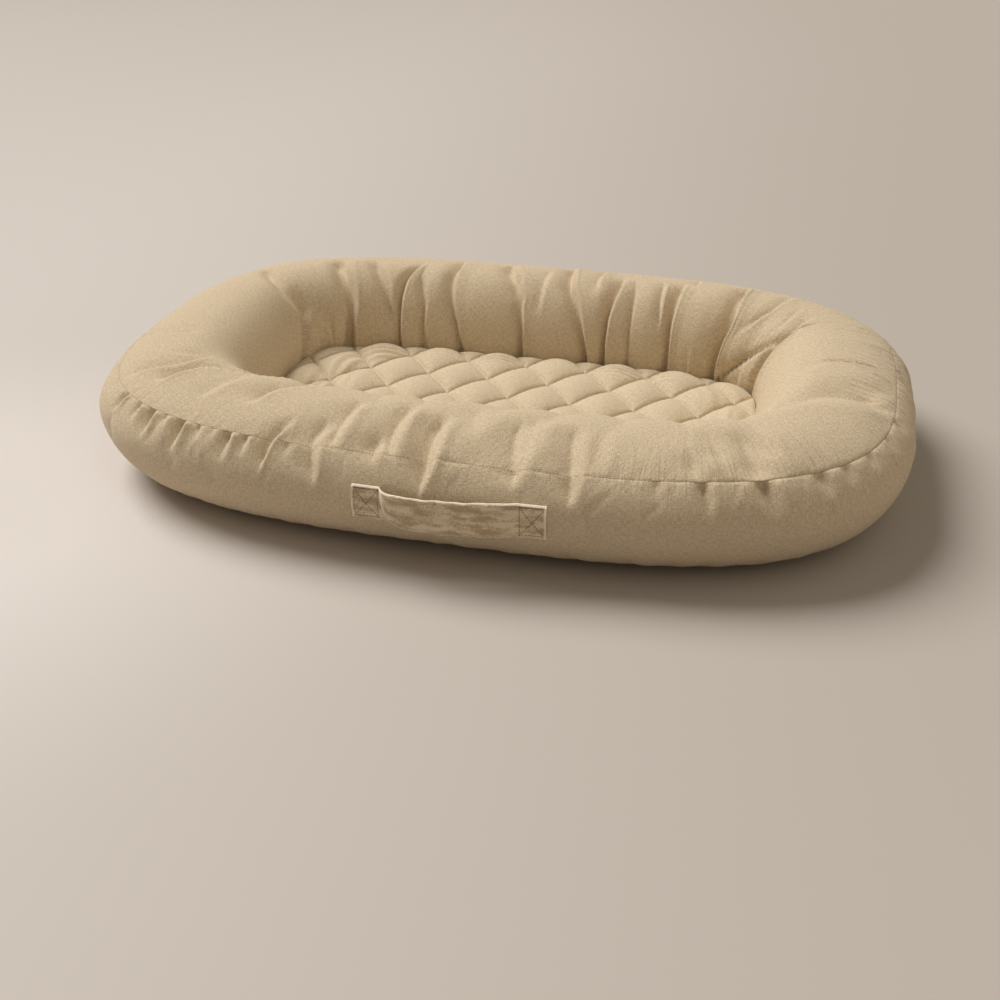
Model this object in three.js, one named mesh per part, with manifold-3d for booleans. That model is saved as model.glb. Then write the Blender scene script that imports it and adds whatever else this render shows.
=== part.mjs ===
// An infant lounger: a soft oval ring bolster round a diamond-quilted floor, in a sewn linen cover, with a
// carry handle sewn on the front side and a zip in the underside.
// Millimetres. +X runs along the length, -Y points to the handle and +Z up. The origin is the middle of the
// footprint, on the ground.

import * as THREE from "three";
import { mergeVertices } from "three/addons/utils/BufferGeometryUtils.js";
import Module from "manifold-3d";

const wasm = await Module();
wasm.setup();

// Outline seen from above, at its widest line. Square shares are superellipse exponents: 2 is an ellipse.
const LOUNGER_LENGTH = 740;
const LOUNGER_WIDTH = 497;
const OUTLINE_SQUARE_SHARE = 3.05;
const WELL_SQUARE_SHARE = 4.6;

// Cross-section of the bolster
const BOLSTER_WIDTH = 139.5;
const BULGE_HEIGHT = 60;
const CROWN_HEIGHT = 109;
const WELL_SEAM_HEIGHT = 39.5;
const CROWN_PLACE_SHARE = 0.588;
const FOOT_OUTER_SHARE = 0.473;
const FOOT_INNER_SHARE = 0.803;

// Seams and folds of the cover. Seam shares are places along the quarter arc that the seam crosses.
const COVER_THICKNESS = 1.2;
const UPPER_SEAM_SHARE = 0.453;
const LOWER_SEAM_SHARE = 0.44;
const SEAM_GAP = 0.3;
const SEAM_DRAW = 1.2;
const SEAM_DRAW_REACH_SHARE = 0.1;
const ARC_CORNER_SHARES = {
  lower: [0.22, LOWER_SEAM_SHARE, 0.7],
  upper: [0.22, UPPER_SEAM_SHARE, 0.72],
  inner: [0.28, 0.56, 0.8],
  under: [0.5],
};
const FOLD_COUNT = 14;
const FOLD_DEPTH = 2.6;
const SIDE_JOINT_SHARES = [0.11, 0.39];

// Lining and filling of the bolster
const LINER_THICKNESS = 0.8;
const LAYER_GAP = 0.3;

// Quilted floor of the well
const QUILT_DIAMOND_LENGTH = 60.7;
const QUILT_DIAMOND_WIDTH = 76.4;
const QUILT_SHIFT_X = -2.5;
const QUILT_SHIFT_Y = 10.6;
const QUILT_DROP = 1.5;
const QUILT_PUFF = 6;
const QUILT_EDGE_PINCH = 18;
const BATTING_AT_STITCHES = 4;
const BACKING_THICKNESS = 1;
const PAD_EDGE_ROUNDING = 4;

// Underside, which rises from the foot of the bolster to a shallow recess that holds the zip
const RECESS_HEIGHT = 9;
const RECESS_SPREAD_SHARE = 0.85;
const UNDERSIDE_RISE_SHARES = [0.1, 0.38, 1];

// Zip
const ZIP_LENGTH = 340;
const ZIP_TAPE_WIDTH = 15;
const ZIP_TAPE_THICKNESS = 0.7;
const ZIP_TAPE_OVERHANG = 14;
const ZIP_SLOT_WIDTH = 10;
const COIL_WIDTH = 2.4;
const COIL_HEIGHT = 1.5;
const COIL_SPACING = 1.6;
const STOP_LENGTH = 5;
const SLIDER_LENGTH = 11;
const SLIDER_TAIL_SHARE = 0.9;
const SLIDER_PLATE = 1;
const SLIDER_POST_WIDTH = 0.9;
const SLIDER_POST_LENGTH = 3;
const CROWN_LOOP_LENGTH = 7.4;
const CROWN_LOOP_WIDTH = 2;
const CROWN_LOOP_CLEAR = 2.6;
const CROWN_LOOP_BAR = 1;
const PULL_LENGTH = 28;
const PULL_WIDTH = 8;
const PULL_THICKNESS = 1.2;
const PULL_PIN = 1.4;
const PULL_WINDOW_WIDTH = 4;
const PULL_TIP_HOLE = 3.2;
const ZIP_HEADROOM = 1;

// Carry handle: a folded strap whose two ends are sewn flat to the front of the side panel
const HANDLE_LENGTH = 158;
const HANDLE_WIDTH = 29.5;
const HANDLE_THICKNESS = 2.2;
const HANDLE_BOX_LENGTH = 23;
const HANDLE_MIDDLE_X = 13;
const HANDLE_MIDDLE_HEIGHT = 58;
const HANDLE_BOW = 6.2;
const HANDLE_BOW_LEAN_SHARE = 0.7;
const HANDLE_GRIP_SHARES = [0.2, 0.8];

// Fineness of the curved surfaces
const RING_STATIONS = 56;
const ARC_SAMPLES = 1440;
const PUFF_STEPS = 3;
const STRAP_STEPS = 4;
const OVERRUN = 5;
const MERGE_TOLERANCE = 1e-3;

const LINEN = { color: 0xcdb997, roughness: 0.95, metalness: 0 };
const LINEN_SHADE = { color: 0xc2ad8a, roughness: 0.95, metalness: 0 };
const COTTON = { color: 0xe6dfd0, roughness: 0.95, metalness: 0 };
const FIBRE = { color: 0xf1eee8, roughness: 1, metalness: 0 };
const ZIP_NYLON = { color: 0xb9a582, roughness: 0.6, metalness: 0 };
const ZIP_METAL = { color: 0xa79d8c, roughness: 0.35, metalness: 1 };

const QUARTER_TURN = Math.PI / 2;
const halfLength = LOUNGER_LENGTH / 2;
const halfWidth = LOUNGER_WIDTH / 2;
const wellHalfLength = halfLength - BOLSTER_WIDTH;
const wellHalfWidth = halfWidth - BOLSTER_WIDTH;
const crownInset = BOLSTER_WIDTH * CROWN_PLACE_SHARE;
const footOuterInset = BOLSTER_WIDTH * FOOT_OUTER_SHARE;
const footInnerInset = BOLSTER_WIDTH * FOOT_INNER_SHARE;

const lounger = new THREE.Group();

function addPiece(name, geometry, finish) {
  const mesh = new THREE.Mesh(geometry, new THREE.MeshStandardMaterial(finish));
  mesh.name = name;
  lounger.add(mesh);
  return mesh;
}

// Meshes from corner points

// Adds a four-cornered face as triangles, leaving out those that have shrunk to a line
function addFace(triangles, a, b, c, d) {
  for (const [p, q, r] of [[a, b, c], [a, c, d]]) {
    const shrunk = [[p, q], [q, r], [r, p]].some(([u, v]) => u.distanceTo(v) < MERGE_TOLERANCE);
    if (!shrunk) triangles.push(p, q, r);
  }
}

function geometryOf(triangles) {
  return new THREE.BufferGeometry().setFromPoints(triangles);
}

// A sheet with a thickness, from rows of points on its outer and inner face, with walls on its free edges
function sheetGeometry(outer, inner, joinsUp) {
  const triangles = [];
  const rows = outer.length;
  const last = outer[0].length - 1;
  for (let i = 0; i < (joinsUp ? rows : rows - 1); i++) {
    const n = (i + 1) % rows;
    for (let j = 0; j < last; j++) {
      addFace(triangles, outer[i][j], outer[n][j], outer[n][j + 1], outer[i][j + 1]);
      addFace(triangles, inner[i][j], inner[i][j + 1], inner[n][j + 1], inner[n][j]);
    }
    addFace(triangles, outer[n][0], outer[i][0], inner[i][0], inner[n][0]);
    addFace(triangles, outer[i][last], outer[n][last], inner[n][last], inner[i][last]);
  }
  if (!joinsUp) {
    const end = rows - 1;
    for (let j = 0; j < last; j++) {
      addFace(triangles, outer[0][j], outer[0][j + 1], inner[0][j + 1], inner[0][j]);
      addFace(triangles, outer[end][j + 1], outer[end][j], inner[end][j], inner[end][j + 1]);
    }
  }
  return geometryOf(triangles);
}

// A solid ring, from rows of points that each go once round its section
function ringGeometry(sections) {
  const triangles = [];
  sections.forEach((section, i) => {
    const next = sections[(i + 1) % sections.length];
    section.forEach((point, j) => {
      const k = (j + 1) % section.length;
      addFace(triangles, point, next[j], next[k], section[k]);
    });
  });
  return geometryOf(triangles);
}

// Cutting and joining

function solidOf(geometry) {
  const bare = geometry.index ? geometry.toNonIndexed() : geometry.clone();
  bare.deleteAttribute("normal");
  bare.deleteAttribute("uv");
  const merged = mergeVertices(bare, MERGE_TOLERANCE);
  return new wasm.Manifold(new wasm.Mesh({
    numProp: 3,
    vertProperties: merged.attributes.position.array,
    triVerts: new Uint32Array(merged.index.array),
  }));
}

function geometryFrom(solid) {
  const { numProp, vertProperties, triVerts } = solid.getMesh();
  const geometry = new THREE.BufferGeometry();
  const positions = new THREE.BufferAttribute(vertProperties, numProp);
  return geometry.setAttribute("position", positions).setIndex(new THREE.BufferAttribute(triVerts, 1));
}

const cut = (geometry, cutter) => geometryFrom(solidOf(geometry).subtract(solidOf(cutter)));

const keepWithin = (geometry, limit) => geometryFrom(solidOf(geometry).intersect(solidOf(limit)));

const join = (...geometries) => geometryFrom(geometries.map(solidOf).reduce((sum, next) => sum.add(next)));

// A box between two corners
function boxBetween(low, high) {
  const size = new THREE.Vector3().subVectors(high, low);
  const middle = new THREE.Vector3().addVectors(low, high).multiplyScalar(1 / 2);
  return new THREE.BoxGeometry(size.x, size.y, size.z).translate(middle.x, middle.y, middle.z);
}

// A flat plate of an outline, between two heights
function plateBetween(outline, low, high) {
  const depth = high - low;
  return new THREE.ExtrudeGeometry(outline, { depth, bevelEnabled: false }).translate(0, 0, low);
}

// Outline of the lounger

// The point of a superellipse whose outward normal lies at the angle given
function superellipsePoint(lengthRadius, widthRadius, squareShare, angle) {
  const along = Math.abs(lengthRadius * Math.cos(angle));
  const across = Math.abs(widthRadius * Math.sin(angle));
  const power = 1 / (squareShare - 1);
  const scale = (along ** (squareShare * power) + across ** (squareShare * power)) ** (-1 / squareShare);
  return new THREE.Vector2(
    Math.sign(Math.cos(angle)) * lengthRadius * along ** power * scale,
    Math.sign(Math.sin(angle)) * widthRadius * across ** power * scale,
  );
}

const outlinePoint = (angle) => superellipsePoint(halfLength, halfWidth, OUTLINE_SQUARE_SHARE, angle);

// Length of the outline from its +X end up to each of many equal steps of the angle
const arcLengths = [0];
for (let i = 1; i <= ARC_SAMPLES; i++) {
  const step = (2 * Math.PI) / ARC_SAMPLES;
  arcLengths.push(arcLengths[i - 1] + outlinePoint(i * step).distanceTo(outlinePoint((i - 1) * step)));
}
const outlineLength = arcLengths[ARC_SAMPLES];

function angleAtShare(share) {
  const wanted = share * outlineLength;
  const i = Math.min(arcLengths.findIndex((length) => length > wanted) - 1, ARC_SAMPLES - 1);
  if (i < 0) return 2 * Math.PI;
  const part = (wanted - arcLengths[i]) / (arcLengths[i + 1] - arcLengths[i]);
  return ((i + part) / ARC_SAMPLES) * 2 * Math.PI;
}

// A station is a place along the outline: its point on the widest line and its point on the well's seam
function stationAt(share) {
  const angle = angleAtShare(((share % 1) + 1) % 1);
  return {
    share,
    outer: outlinePoint(angle),
    well: superellipsePoint(wellHalfLength, wellHalfWidth, WELL_SQUARE_SHARE, angle),
  };
}

const ringStations = Array.from({ length: RING_STATIONS }, (_, i) => stationAt(i / RING_STATIONS));

// Stations from one share of the outline to another, with a seam's half gap left at both ends
function stationsBetween(from, to) {
  const halfGap = SEAM_GAP / 2 / outlineLength;
  const inside = [];
  for (let i = Math.ceil(from * RING_STATIONS); i <= Math.floor(to * RING_STATIONS); i++) {
    const share = i / RING_STATIONS;
    if (share > from + 2 * halfGap && share < to - 2 * halfGap) inside.push(stationAt(share));
  }
  return [stationAt(from + halfGap), ...inside, stationAt(to - halfGap)];
}

function insetPoint(station, inset, height) {
  const place = station.outer.clone().lerp(station.well, inset / BOLSTER_WIDTH);
  return new THREE.Vector3(place.x, place.y, height);
}

// Cross-section of the bolster: four quarter ellipses, in insets from the widest line and in heights

const sectionArcs = {
  lower: {
    centre: new THREE.Vector2(footOuterInset, BULGE_HEIGHT),
    radii: new THREE.Vector2(footOuterInset, BULGE_HEIGHT),
    start: 3 * QUARTER_TURN,
  },
  upper: {
    centre: new THREE.Vector2(crownInset, BULGE_HEIGHT),
    radii: new THREE.Vector2(crownInset, CROWN_HEIGHT - BULGE_HEIGHT),
    start: 2 * QUARTER_TURN,
  },
  inner: {
    centre: new THREE.Vector2(crownInset, WELL_SEAM_HEIGHT),
    radii: new THREE.Vector2(BOLSTER_WIDTH - crownInset, CROWN_HEIGHT - WELL_SEAM_HEIGHT),
    start: QUARTER_TURN,
  },
  under: {
    centre: new THREE.Vector2(footInnerInset, WELL_SEAM_HEIGHT),
    radii: new THREE.Vector2(BOLSTER_WIDTH - footInnerInset, WELL_SEAM_HEIGHT),
    start: 0,
  },
};

// How far, from 0 to 1, a seam draws the surface in at a place on an arc
function seamPull(arcName, share) {
  const seam = { lower: LOWER_SEAM_SHARE, upper: UPPER_SEAM_SHARE }[arcName];
  if (seam === undefined) return 0;
  return Math.max(0, 1 - Math.abs(share - seam) / SEAM_DRAW_REACH_SHARE);
}

// How deep, from 0 to 1, the gathers of the cover sink: nothing at its seams and most over the crown
function foldPull(station, arcName, share) {
  const shares = {
    upper: Math.max(0, (share - UPPER_SEAM_SHARE) / (1 - UPPER_SEAM_SHARE)),
    inner: 1 - share ** 2,
  };
  const reach = shares[arcName] ?? 0;
  return (reach * (1 - Math.cos(2 * Math.PI * FOLD_COUNT * station.share))) / 2;
}

// A point of the bolster's surface, or of a layer the given depth under it
function bolsterPoint(station, arcName, share, depth) {
  const { centre, radii, start } = sectionArcs[arcName];
  const angle = start - share * QUARTER_TURN;
  const normal = new THREE.Vector2(Math.cos(angle) / radii.x, Math.sin(angle) / radii.y).normalize();
  const sunk = depth + SEAM_DRAW * seamPull(arcName, share) + FOLD_DEPTH * foldPull(station, arcName, share);
  return insetPoint(
    station,
    centre.x + radii.x * Math.cos(angle) - normal.x * sunk,
    centre.y + radii.y * Math.sin(angle) - normal.y * sunk,
  );
}

// Half the seam gap as a share of the arc that the seam crosses
function seamTrim(arcName) {
  const { radii } = sectionArcs[arcName];
  return SEAM_GAP / 2 / (QUARTER_TURN * Math.min(radii.x, radii.y));
}

// The corners of a layer along an arc: the two places given, and the arc's own corners between them
function along(arcName, from, to) {
  const between = ARC_CORNER_SHARES[arcName].filter((share) => share > from && share < to);
  return [from, ...between, to].map((share) => [arcName, share]);
}

// A layer over part of the bolster's section, along the stations given
function bolsterLayer(stations, joinsUp, profile, depth, thickness) {
  const rows = (sunk) => stations.map((station) =>
    profile.map(([arcName, share]) => bolsterPoint(station, arcName, share, sunk)));
  return sheetGeometry(rows(depth), rows(depth + thickness), joinsUp);
}

// Cover of the bolster: one ring-shaped panel on top, two side strips joined at the rear corners

const topProfile = [
  ...along("upper", UPPER_SEAM_SHARE + seamTrim("upper"), 1),
  ...along("inner", 0, 1).slice(1),
];
addPiece("top_panel", bolsterLayer(ringStations, true, topProfile, 0, COVER_THICKNESS), LINEN);

const sideProfile = [
  ...along("lower", LOWER_SEAM_SHARE + seamTrim("lower"), 1),
  ...along("upper", 0, UPPER_SEAM_SHARE - seamTrim("upper")).slice(1),
];
const [rearJointStart, rearJointEnd] = SIDE_JOINT_SHARES;
const sidePanels = {
  side_panel_rear: stationsBetween(rearJointStart, rearJointEnd),
  side_panel_front: stationsBetween(rearJointEnd, rearJointStart + 1),
};
for (const [name, stations] of Object.entries(sidePanels)) {
  addPiece(name, bolsterLayer(stations, false, sideProfile, 0, COVER_THICKNESS), LINEN);
}

// Underside of the cover: a front and a rear half that meet on the middle line, with a slot for the zip

const zipSlotLength = ZIP_LENGTH + 2 * (STOP_LENGTH + 2 * LAYER_GAP);
const zipSlot = boxBetween(
  new THREE.Vector3(-zipSlotLength / 2, -ZIP_SLOT_WIDTH / 2, RECESS_HEIGHT - OVERRUN),
  new THREE.Vector3(zipSlotLength / 2, ZIP_SLOT_WIDTH / 2, RECESS_HEIGHT + OVERRUN),
);

function undersideRow(station, side, depth) {
  const [easeRise, seamRise, fullRise] = UNDERSIDE_RISE_SHARES.map((share) => share * RECESS_HEIGHT + depth);
  const middle = station.well.clone().multiplyScalar(RECESS_SPREAD_SHARE);
  const row = [
    new THREE.Vector3(middle.x, 0, fullRise),
    new THREE.Vector3(middle.x, middle.y, fullRise),
    insetPoint(station, BOLSTER_WIDTH, seamRise),
    insetPoint(station, (footInnerInset + BOLSTER_WIDTH) / 2, easeRise),
    bolsterPoint(station, "under", 1, depth),
    ...along("lower", 0, LOWER_SEAM_SHARE - seamTrim("lower")).map(([arcName, share]) =>
      bolsterPoint(station, arcName, share, depth)),
  ];
  for (const point of row) point.y = side * Math.max(Math.abs(point.y), SEAM_GAP / 2);
  return row;
}

for (const [name, side, firstStation] of [
  ["bottom_panel_rear", 1, 0],
  ["bottom_panel_front", -1, RING_STATIONS / 2],
]) {
  const stations = Array.from({ length: RING_STATIONS / 2 + 1 }, (_, i) =>
    ringStations[(firstStation + i) % RING_STATIONS]);
  const rows = (depth) => stations.map((station) => undersideRow(station, side, depth));
  addPiece(name, cut(sheetGeometry(rows(0), rows(COVER_THICKNESS), false), zipSlot), LINEN_SHADE);
}

// Lining of the bolster, in an upper and a lower half, and the fibre that fills it

const linerDepth = COVER_THICKNESS + LAYER_GAP;
const fillDepth = linerDepth + LINER_THICKNESS + LAYER_GAP;
const linerTopProfile = [
  ...along("upper", 0, 1),
  ...along("inner", 0, 1 - seamTrim("inner")).slice(1),
];
const linerBaseProfile = [
  ...along("under", seamTrim("under"), 1),
  ...along("lower", 0, 1 - 2 * seamTrim("lower")),
];
for (const [name, profile] of [["liner_top", linerTopProfile], ["liner_base", linerBaseProfile]]) {
  addPiece(name, bolsterLayer(ringStations, true, profile, linerDepth, LINER_THICKNESS), COTTON);
}

const fillProfile = [
  ...along("upper", 0, 1),
  ...along("inner", 0, 1).slice(1),
  ...along("under", 0, 1).slice(1),
  ...along("lower", 0, 1).slice(0, -1),
];
const fillSections = ringStations.map((station) =>
  fillProfile.map(([arcName, share]) => bolsterPoint(station, arcName, share, fillDepth)));
addPiece("bolster_fill", ringGeometry(fillSections), FIBRE);

// Quilted floor: cover fabric puffed over batting between two crossing sets of stitch lines, and a backing

const quiltLineHeight = WELL_SEAM_HEIGHT - QUILT_DROP;
const wellOutline = new THREE.Shape(ringStations.map((station) => {
  const { x, y } = insetPoint(station, BOLSTER_WIDTH + SEAM_GAP, 0);
  return new THREE.Vector2(x, y);
}));

// How much of the puff is left near the well's seam, from 0 on it to 1 further in
function puffLeft(x, y) {
  const toSeam = Math.min(wellHalfLength - Math.abs(x), wellHalfWidth - Math.abs(y));
  return THREE.MathUtils.clamp(toSeam / QUILT_EDGE_PINCH, 0, 1);
}

// A solid whose top puffs up inside each diamond, before it is cut to the well's outline
function quiltedSolid(lineHeight, floorHeight) {
  const reach = Math.ceil(halfLength / QUILT_DIAMOND_LENGTH + halfWidth / QUILT_DIAMOND_WIDTH);
  const count = 2 * reach * PUFF_STEPS;
  const bulge = (share) => Math.sqrt(Math.max(0, 1 - (2 * share - 1) ** 2));
  const grid = (heightAt) => Array.from({ length: count + 1 }, (_, i) =>
    Array.from({ length: count + 1 }, (_, j) => {
      const u = i / PUFF_STEPS - reach;
      const v = j / PUFF_STEPS - reach;
      const x = QUILT_SHIFT_X + (QUILT_DIAMOND_LENGTH * (u + v)) / 2;
      const y = QUILT_SHIFT_Y + (QUILT_DIAMOND_WIDTH * (v - u)) / 2;
      const puff = bulge((i % PUFF_STEPS) / PUFF_STEPS) * bulge((j % PUFF_STEPS) / PUFF_STEPS);
      return new THREE.Vector3(x, y, heightAt(puff * puffLeft(x, y)));
    }));
  const top = grid((puff) => lineHeight + QUILT_PUFF * puff);
  const floor = grid(() => floorHeight);
  return sheetGeometry(top, floor, false);
}

const fabricUnderside = quiltLineHeight - COVER_THICKNESS;
const battingTop = fabricUnderside - LAYER_GAP;
const battingUnderside = battingTop - BATTING_AT_STITCHES;
const backingTop = battingUnderside - LAYER_GAP;
const backingUnderside = backingTop - BACKING_THICKNESS;
const wellPrism = plateBetween(wellOutline, RECESS_HEIGHT, CROWN_HEIGHT);

const fabricWithCore = quiltedSolid(quiltLineHeight, battingUnderside);
const coreOfFabric = quiltedSolid(fabricUnderside, battingUnderside - OVERRUN);
addPiece("quilt_top", keepWithin(cut(fabricWithCore, coreOfFabric), wellPrism), LINEN);

const batting = quiltedSolid(battingTop, battingUnderside);
addPiece("quilt_batting", keepWithin(batting, wellPrism), FIBRE);

addPiece("quilt_backing", plateBetween(wellOutline, backingUnderside, backingTop), COTTON);

// Zip: two tapes sewn inside the slot's edges, each with a coil, stops, and a slider with a pull

const tapeUnderside = RECESS_HEIGHT + COVER_THICKNESS + LAYER_GAP;
const tapeTop = tapeUnderside + ZIP_TAPE_THICKNESS;
const coilTop = tapeUnderside - LAYER_GAP;
const coilUnderside = coilTop - COIL_HEIGHT;
const lowerPlateTop = coilUnderside - LAYER_GAP;
const lowerPlateUnderside = lowerPlateTop - SLIDER_PLATE;
const upperPlateUnderside = tapeTop + LAYER_GAP;
const upperPlateTop = upperPlateUnderside + SLIDER_PLATE;

// The coil's section has its lower edges rounded off
function coilGeometry() {
  const chamfer = COIL_HEIGHT / 3;
  const section = new THREE.Shape([
    new THREE.Vector2(chamfer, 0),
    new THREE.Vector2(COIL_WIDTH - chamfer, 0),
    new THREE.Vector2(COIL_WIDTH, chamfer),
    new THREE.Vector2(COIL_WIDTH, COIL_HEIGHT),
    new THREE.Vector2(0, COIL_HEIGHT),
    new THREE.Vector2(0, chamfer),
  ]);
  return new THREE.ExtrudeGeometry(section, { depth: ZIP_LENGTH, bevelEnabled: false })
    .rotateX(QUARTER_TURN)
    .rotateZ(QUARTER_TURN)
    .translate(-ZIP_LENGTH / 2, COIL_SPACING / 2, coilUnderside);
}

for (const [place, side] of [["rear", 1], ["front", -1]]) {
  const coil = coilGeometry();
  if (side < 0) coil.translate(0, -COIL_SPACING - COIL_WIDTH, 0);
  addPiece("zip_coil_" + place, coil, ZIP_NYLON);

  const halfTape = ZIP_LENGTH / 2 + ZIP_TAPE_OVERHANG;
  const edges = [side * COIL_SPACING / 2, side * (COIL_SPACING / 2 + ZIP_TAPE_WIDTH)];
  addPiece("zip_tape_" + place, boxBetween(
    new THREE.Vector3(-halfTape, Math.min(...edges), tapeUnderside),
    new THREE.Vector3(halfTape, Math.max(...edges), tapeTop),
  ), ZIP_NYLON);

  const stopEdges = [side * COIL_SPACING / 2, side * (COIL_SPACING / 2 + COIL_WIDTH)];
  addPiece("zip_top_stop_" + place, boxBetween(
    new THREE.Vector3(ZIP_LENGTH / 2 + LAYER_GAP, Math.min(...stopEdges), coilUnderside),
    new THREE.Vector3(ZIP_LENGTH / 2 + LAYER_GAP + STOP_LENGTH, Math.max(...stopEdges), coilTop),
  ), ZIP_METAL);
}
const chainHalfWidth = COIL_SPACING / 2 + COIL_WIDTH;
addPiece("zip_bottom_stop", boxBetween(
  new THREE.Vector3(-ZIP_LENGTH / 2 - LAYER_GAP - STOP_LENGTH, -chainHalfWidth, coilUnderside),
  new THREE.Vector3(-ZIP_LENGTH / 2 - LAYER_GAP, chainHalfWidth, coilTop),
), ZIP_METAL);

// The slider rests against the top stops: two shield-shaped plates on a post, with a flange on each side of
// the lower plate and a loop under it that holds the pull
const sliderHalfWidth = ZIP_SLOT_WIDTH / 2 - LAYER_GAP;
const sliderFront = ZIP_LENGTH / 2 - LAYER_GAP;
const sliderMiddle = sliderFront - SLIDER_LENGTH / 2;
const sliderTail = sliderFront - SLIDER_LENGTH;

function sliderPlate(low, high) {
  const tailHalfWidth = sliderHalfWidth * SLIDER_TAIL_SHARE;
  const outline = new THREE.Shape();
  outline.moveTo(sliderTail, -tailHalfWidth);
  outline.lineTo(sliderMiddle, -sliderHalfWidth);
  outline.quadraticCurveTo(sliderFront, -sliderHalfWidth, sliderFront, 0);
  outline.quadraticCurveTo(sliderFront, sliderHalfWidth, sliderMiddle, sliderHalfWidth);
  outline.lineTo(sliderTail, tailHalfWidth);
  const depth = high - low;
  return new THREE.ExtrudeGeometry(outline, { depth, bevelEnabled: false, curveSegments: 5 })
    .translate(0, 0, low);
}

const flanges = [-1, 1].map((side) => {
  const outside = side * sliderHalfWidth * SLIDER_TAIL_SHARE;
  const inside = side * (chainHalfWidth + LAYER_GAP);
  return boxBetween(
    new THREE.Vector3(sliderTail, Math.min(outside, inside), lowerPlateUnderside),
    new THREE.Vector3(sliderMiddle, Math.max(outside, inside), coilTop),
  );
});
const post = boxBetween(
  new THREE.Vector3(sliderFront - 2 * SLIDER_POST_LENGTH, -SLIDER_POST_WIDTH / 2, lowerPlateUnderside),
  new THREE.Vector3(sliderFront - SLIDER_POST_LENGTH, SLIDER_POST_WIDTH / 2, upperPlateTop),
);
const loopUnderside = lowerPlateUnderside - CROWN_LOOP_CLEAR - CROWN_LOOP_BAR;
const crownLoop = cut(
  boxBetween(
    new THREE.Vector3(sliderMiddle - CROWN_LOOP_LENGTH / 2, -CROWN_LOOP_WIDTH / 2, loopUnderside),
    new THREE.Vector3(sliderMiddle + CROWN_LOOP_LENGTH / 2, CROWN_LOOP_WIDTH / 2, lowerPlateTop),
  ),
  boxBetween(
    new THREE.Vector3(
      sliderMiddle - CROWN_LOOP_LENGTH / 2 + CROWN_LOOP_BAR,
      -CROWN_LOOP_WIDTH,
      loopUnderside + CROWN_LOOP_BAR,
    ),
    new THREE.Vector3(
      sliderMiddle + CROWN_LOOP_LENGTH / 2 - CROWN_LOOP_BAR,
      CROWN_LOOP_WIDTH,
      lowerPlateUnderside,
    ),
  ),
);
addPiece("zip_slider", join(
  sliderPlate(lowerPlateUnderside, lowerPlateTop),
  sliderPlate(upperPlateUnderside, upperPlateTop),
  post,
  ...flanges,
  crownLoop,
), ZIP_METAL);

// The pull hangs on the loop by the bar at its head and lies flat, pointing back along the zip
const pullHeight = lowerPlateUnderside - CROWN_LOOP_CLEAR / 2;
function pullGeometry() {
  const halfPull = PULL_WIDTH / 2;
  const head = PULL_PIN / 2;
  const neck = -PULL_LENGTH + halfPull;
  const outline = new THREE.Shape();
  outline.moveTo(head, -halfPull);
  outline.lineTo(head, halfPull);
  outline.lineTo(neck, halfPull * SLIDER_TAIL_SHARE);
  outline.absarc(neck, 0, halfPull * SLIDER_TAIL_SHARE, QUARTER_TURN, -QUARTER_TURN + 2 * Math.PI, false);
  const windowFar = -head - CROWN_LOOP_LENGTH / 2;
  outline.holes.push(
    new THREE.Path([
      new THREE.Vector2(-head, -PULL_WINDOW_WIDTH / 2),
      new THREE.Vector2(windowFar, -PULL_WINDOW_WIDTH / 2),
      new THREE.Vector2(windowFar, PULL_WINDOW_WIDTH / 2),
      new THREE.Vector2(-head, PULL_WINDOW_WIDTH / 2),
    ]),
    new THREE.Path().absarc(neck, 0, PULL_TIP_HOLE / 2, 0, 2 * Math.PI, true),
  );
  return new THREE.ExtrudeGeometry(outline, { depth: PULL_THICKNESS, bevelEnabled: false, curveSegments: 8 })
    .translate(sliderMiddle, 0, pullHeight - PULL_THICKNESS / 2);
}
addPiece("zip_pull", pullGeometry(), ZIP_METAL);

// Base pad: a firm fibre pad under the quilt, clear of the zip below it
const padUnderside = upperPlateTop + ZIP_HEADROOM;
const padTop = backingUnderside - LAYER_GAP;
const basePad = new THREE.ExtrudeGeometry(wellOutline, {
  depth: padTop - padUnderside - 2 * PAD_EDGE_ROUNDING,
  bevelThickness: PAD_EDGE_ROUNDING,
  bevelSize: PAD_EDGE_ROUNDING,
  bevelOffset: -PAD_EDGE_ROUNDING,
  bevelSegments: 2,
}).translate(0, 0, padUnderside + PAD_EDGE_ROUNDING);
addPiece("base_pad", basePad, FIBRE);

// Carry handle

// How far the side of the bolster draws in from its widest line at a height
function sideInset(height) {
  const { centre, radii } = height < BULGE_HEIGHT ? sectionArcs.lower : sectionArcs.upper;
  const rise = Math.min(1, Math.abs(height - centre.y) / radii.y);
  return radii.x * (1 - Math.sqrt(1 - rise ** 2));
}

// Half the width of the lounger at a place along its length
const halfWidthAt = (x) =>
  halfWidth * (1 - (Math.abs(x) / halfLength) ** OUTLINE_SQUARE_SHARE) ** (1 / OUTLINE_SQUARE_SHARE);

const handleStart = HANDLE_MIDDLE_X - HANDLE_LENGTH / 2;
const spanLength = HANDLE_LENGTH - 2 * HANDLE_BOX_LENGTH;

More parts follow.
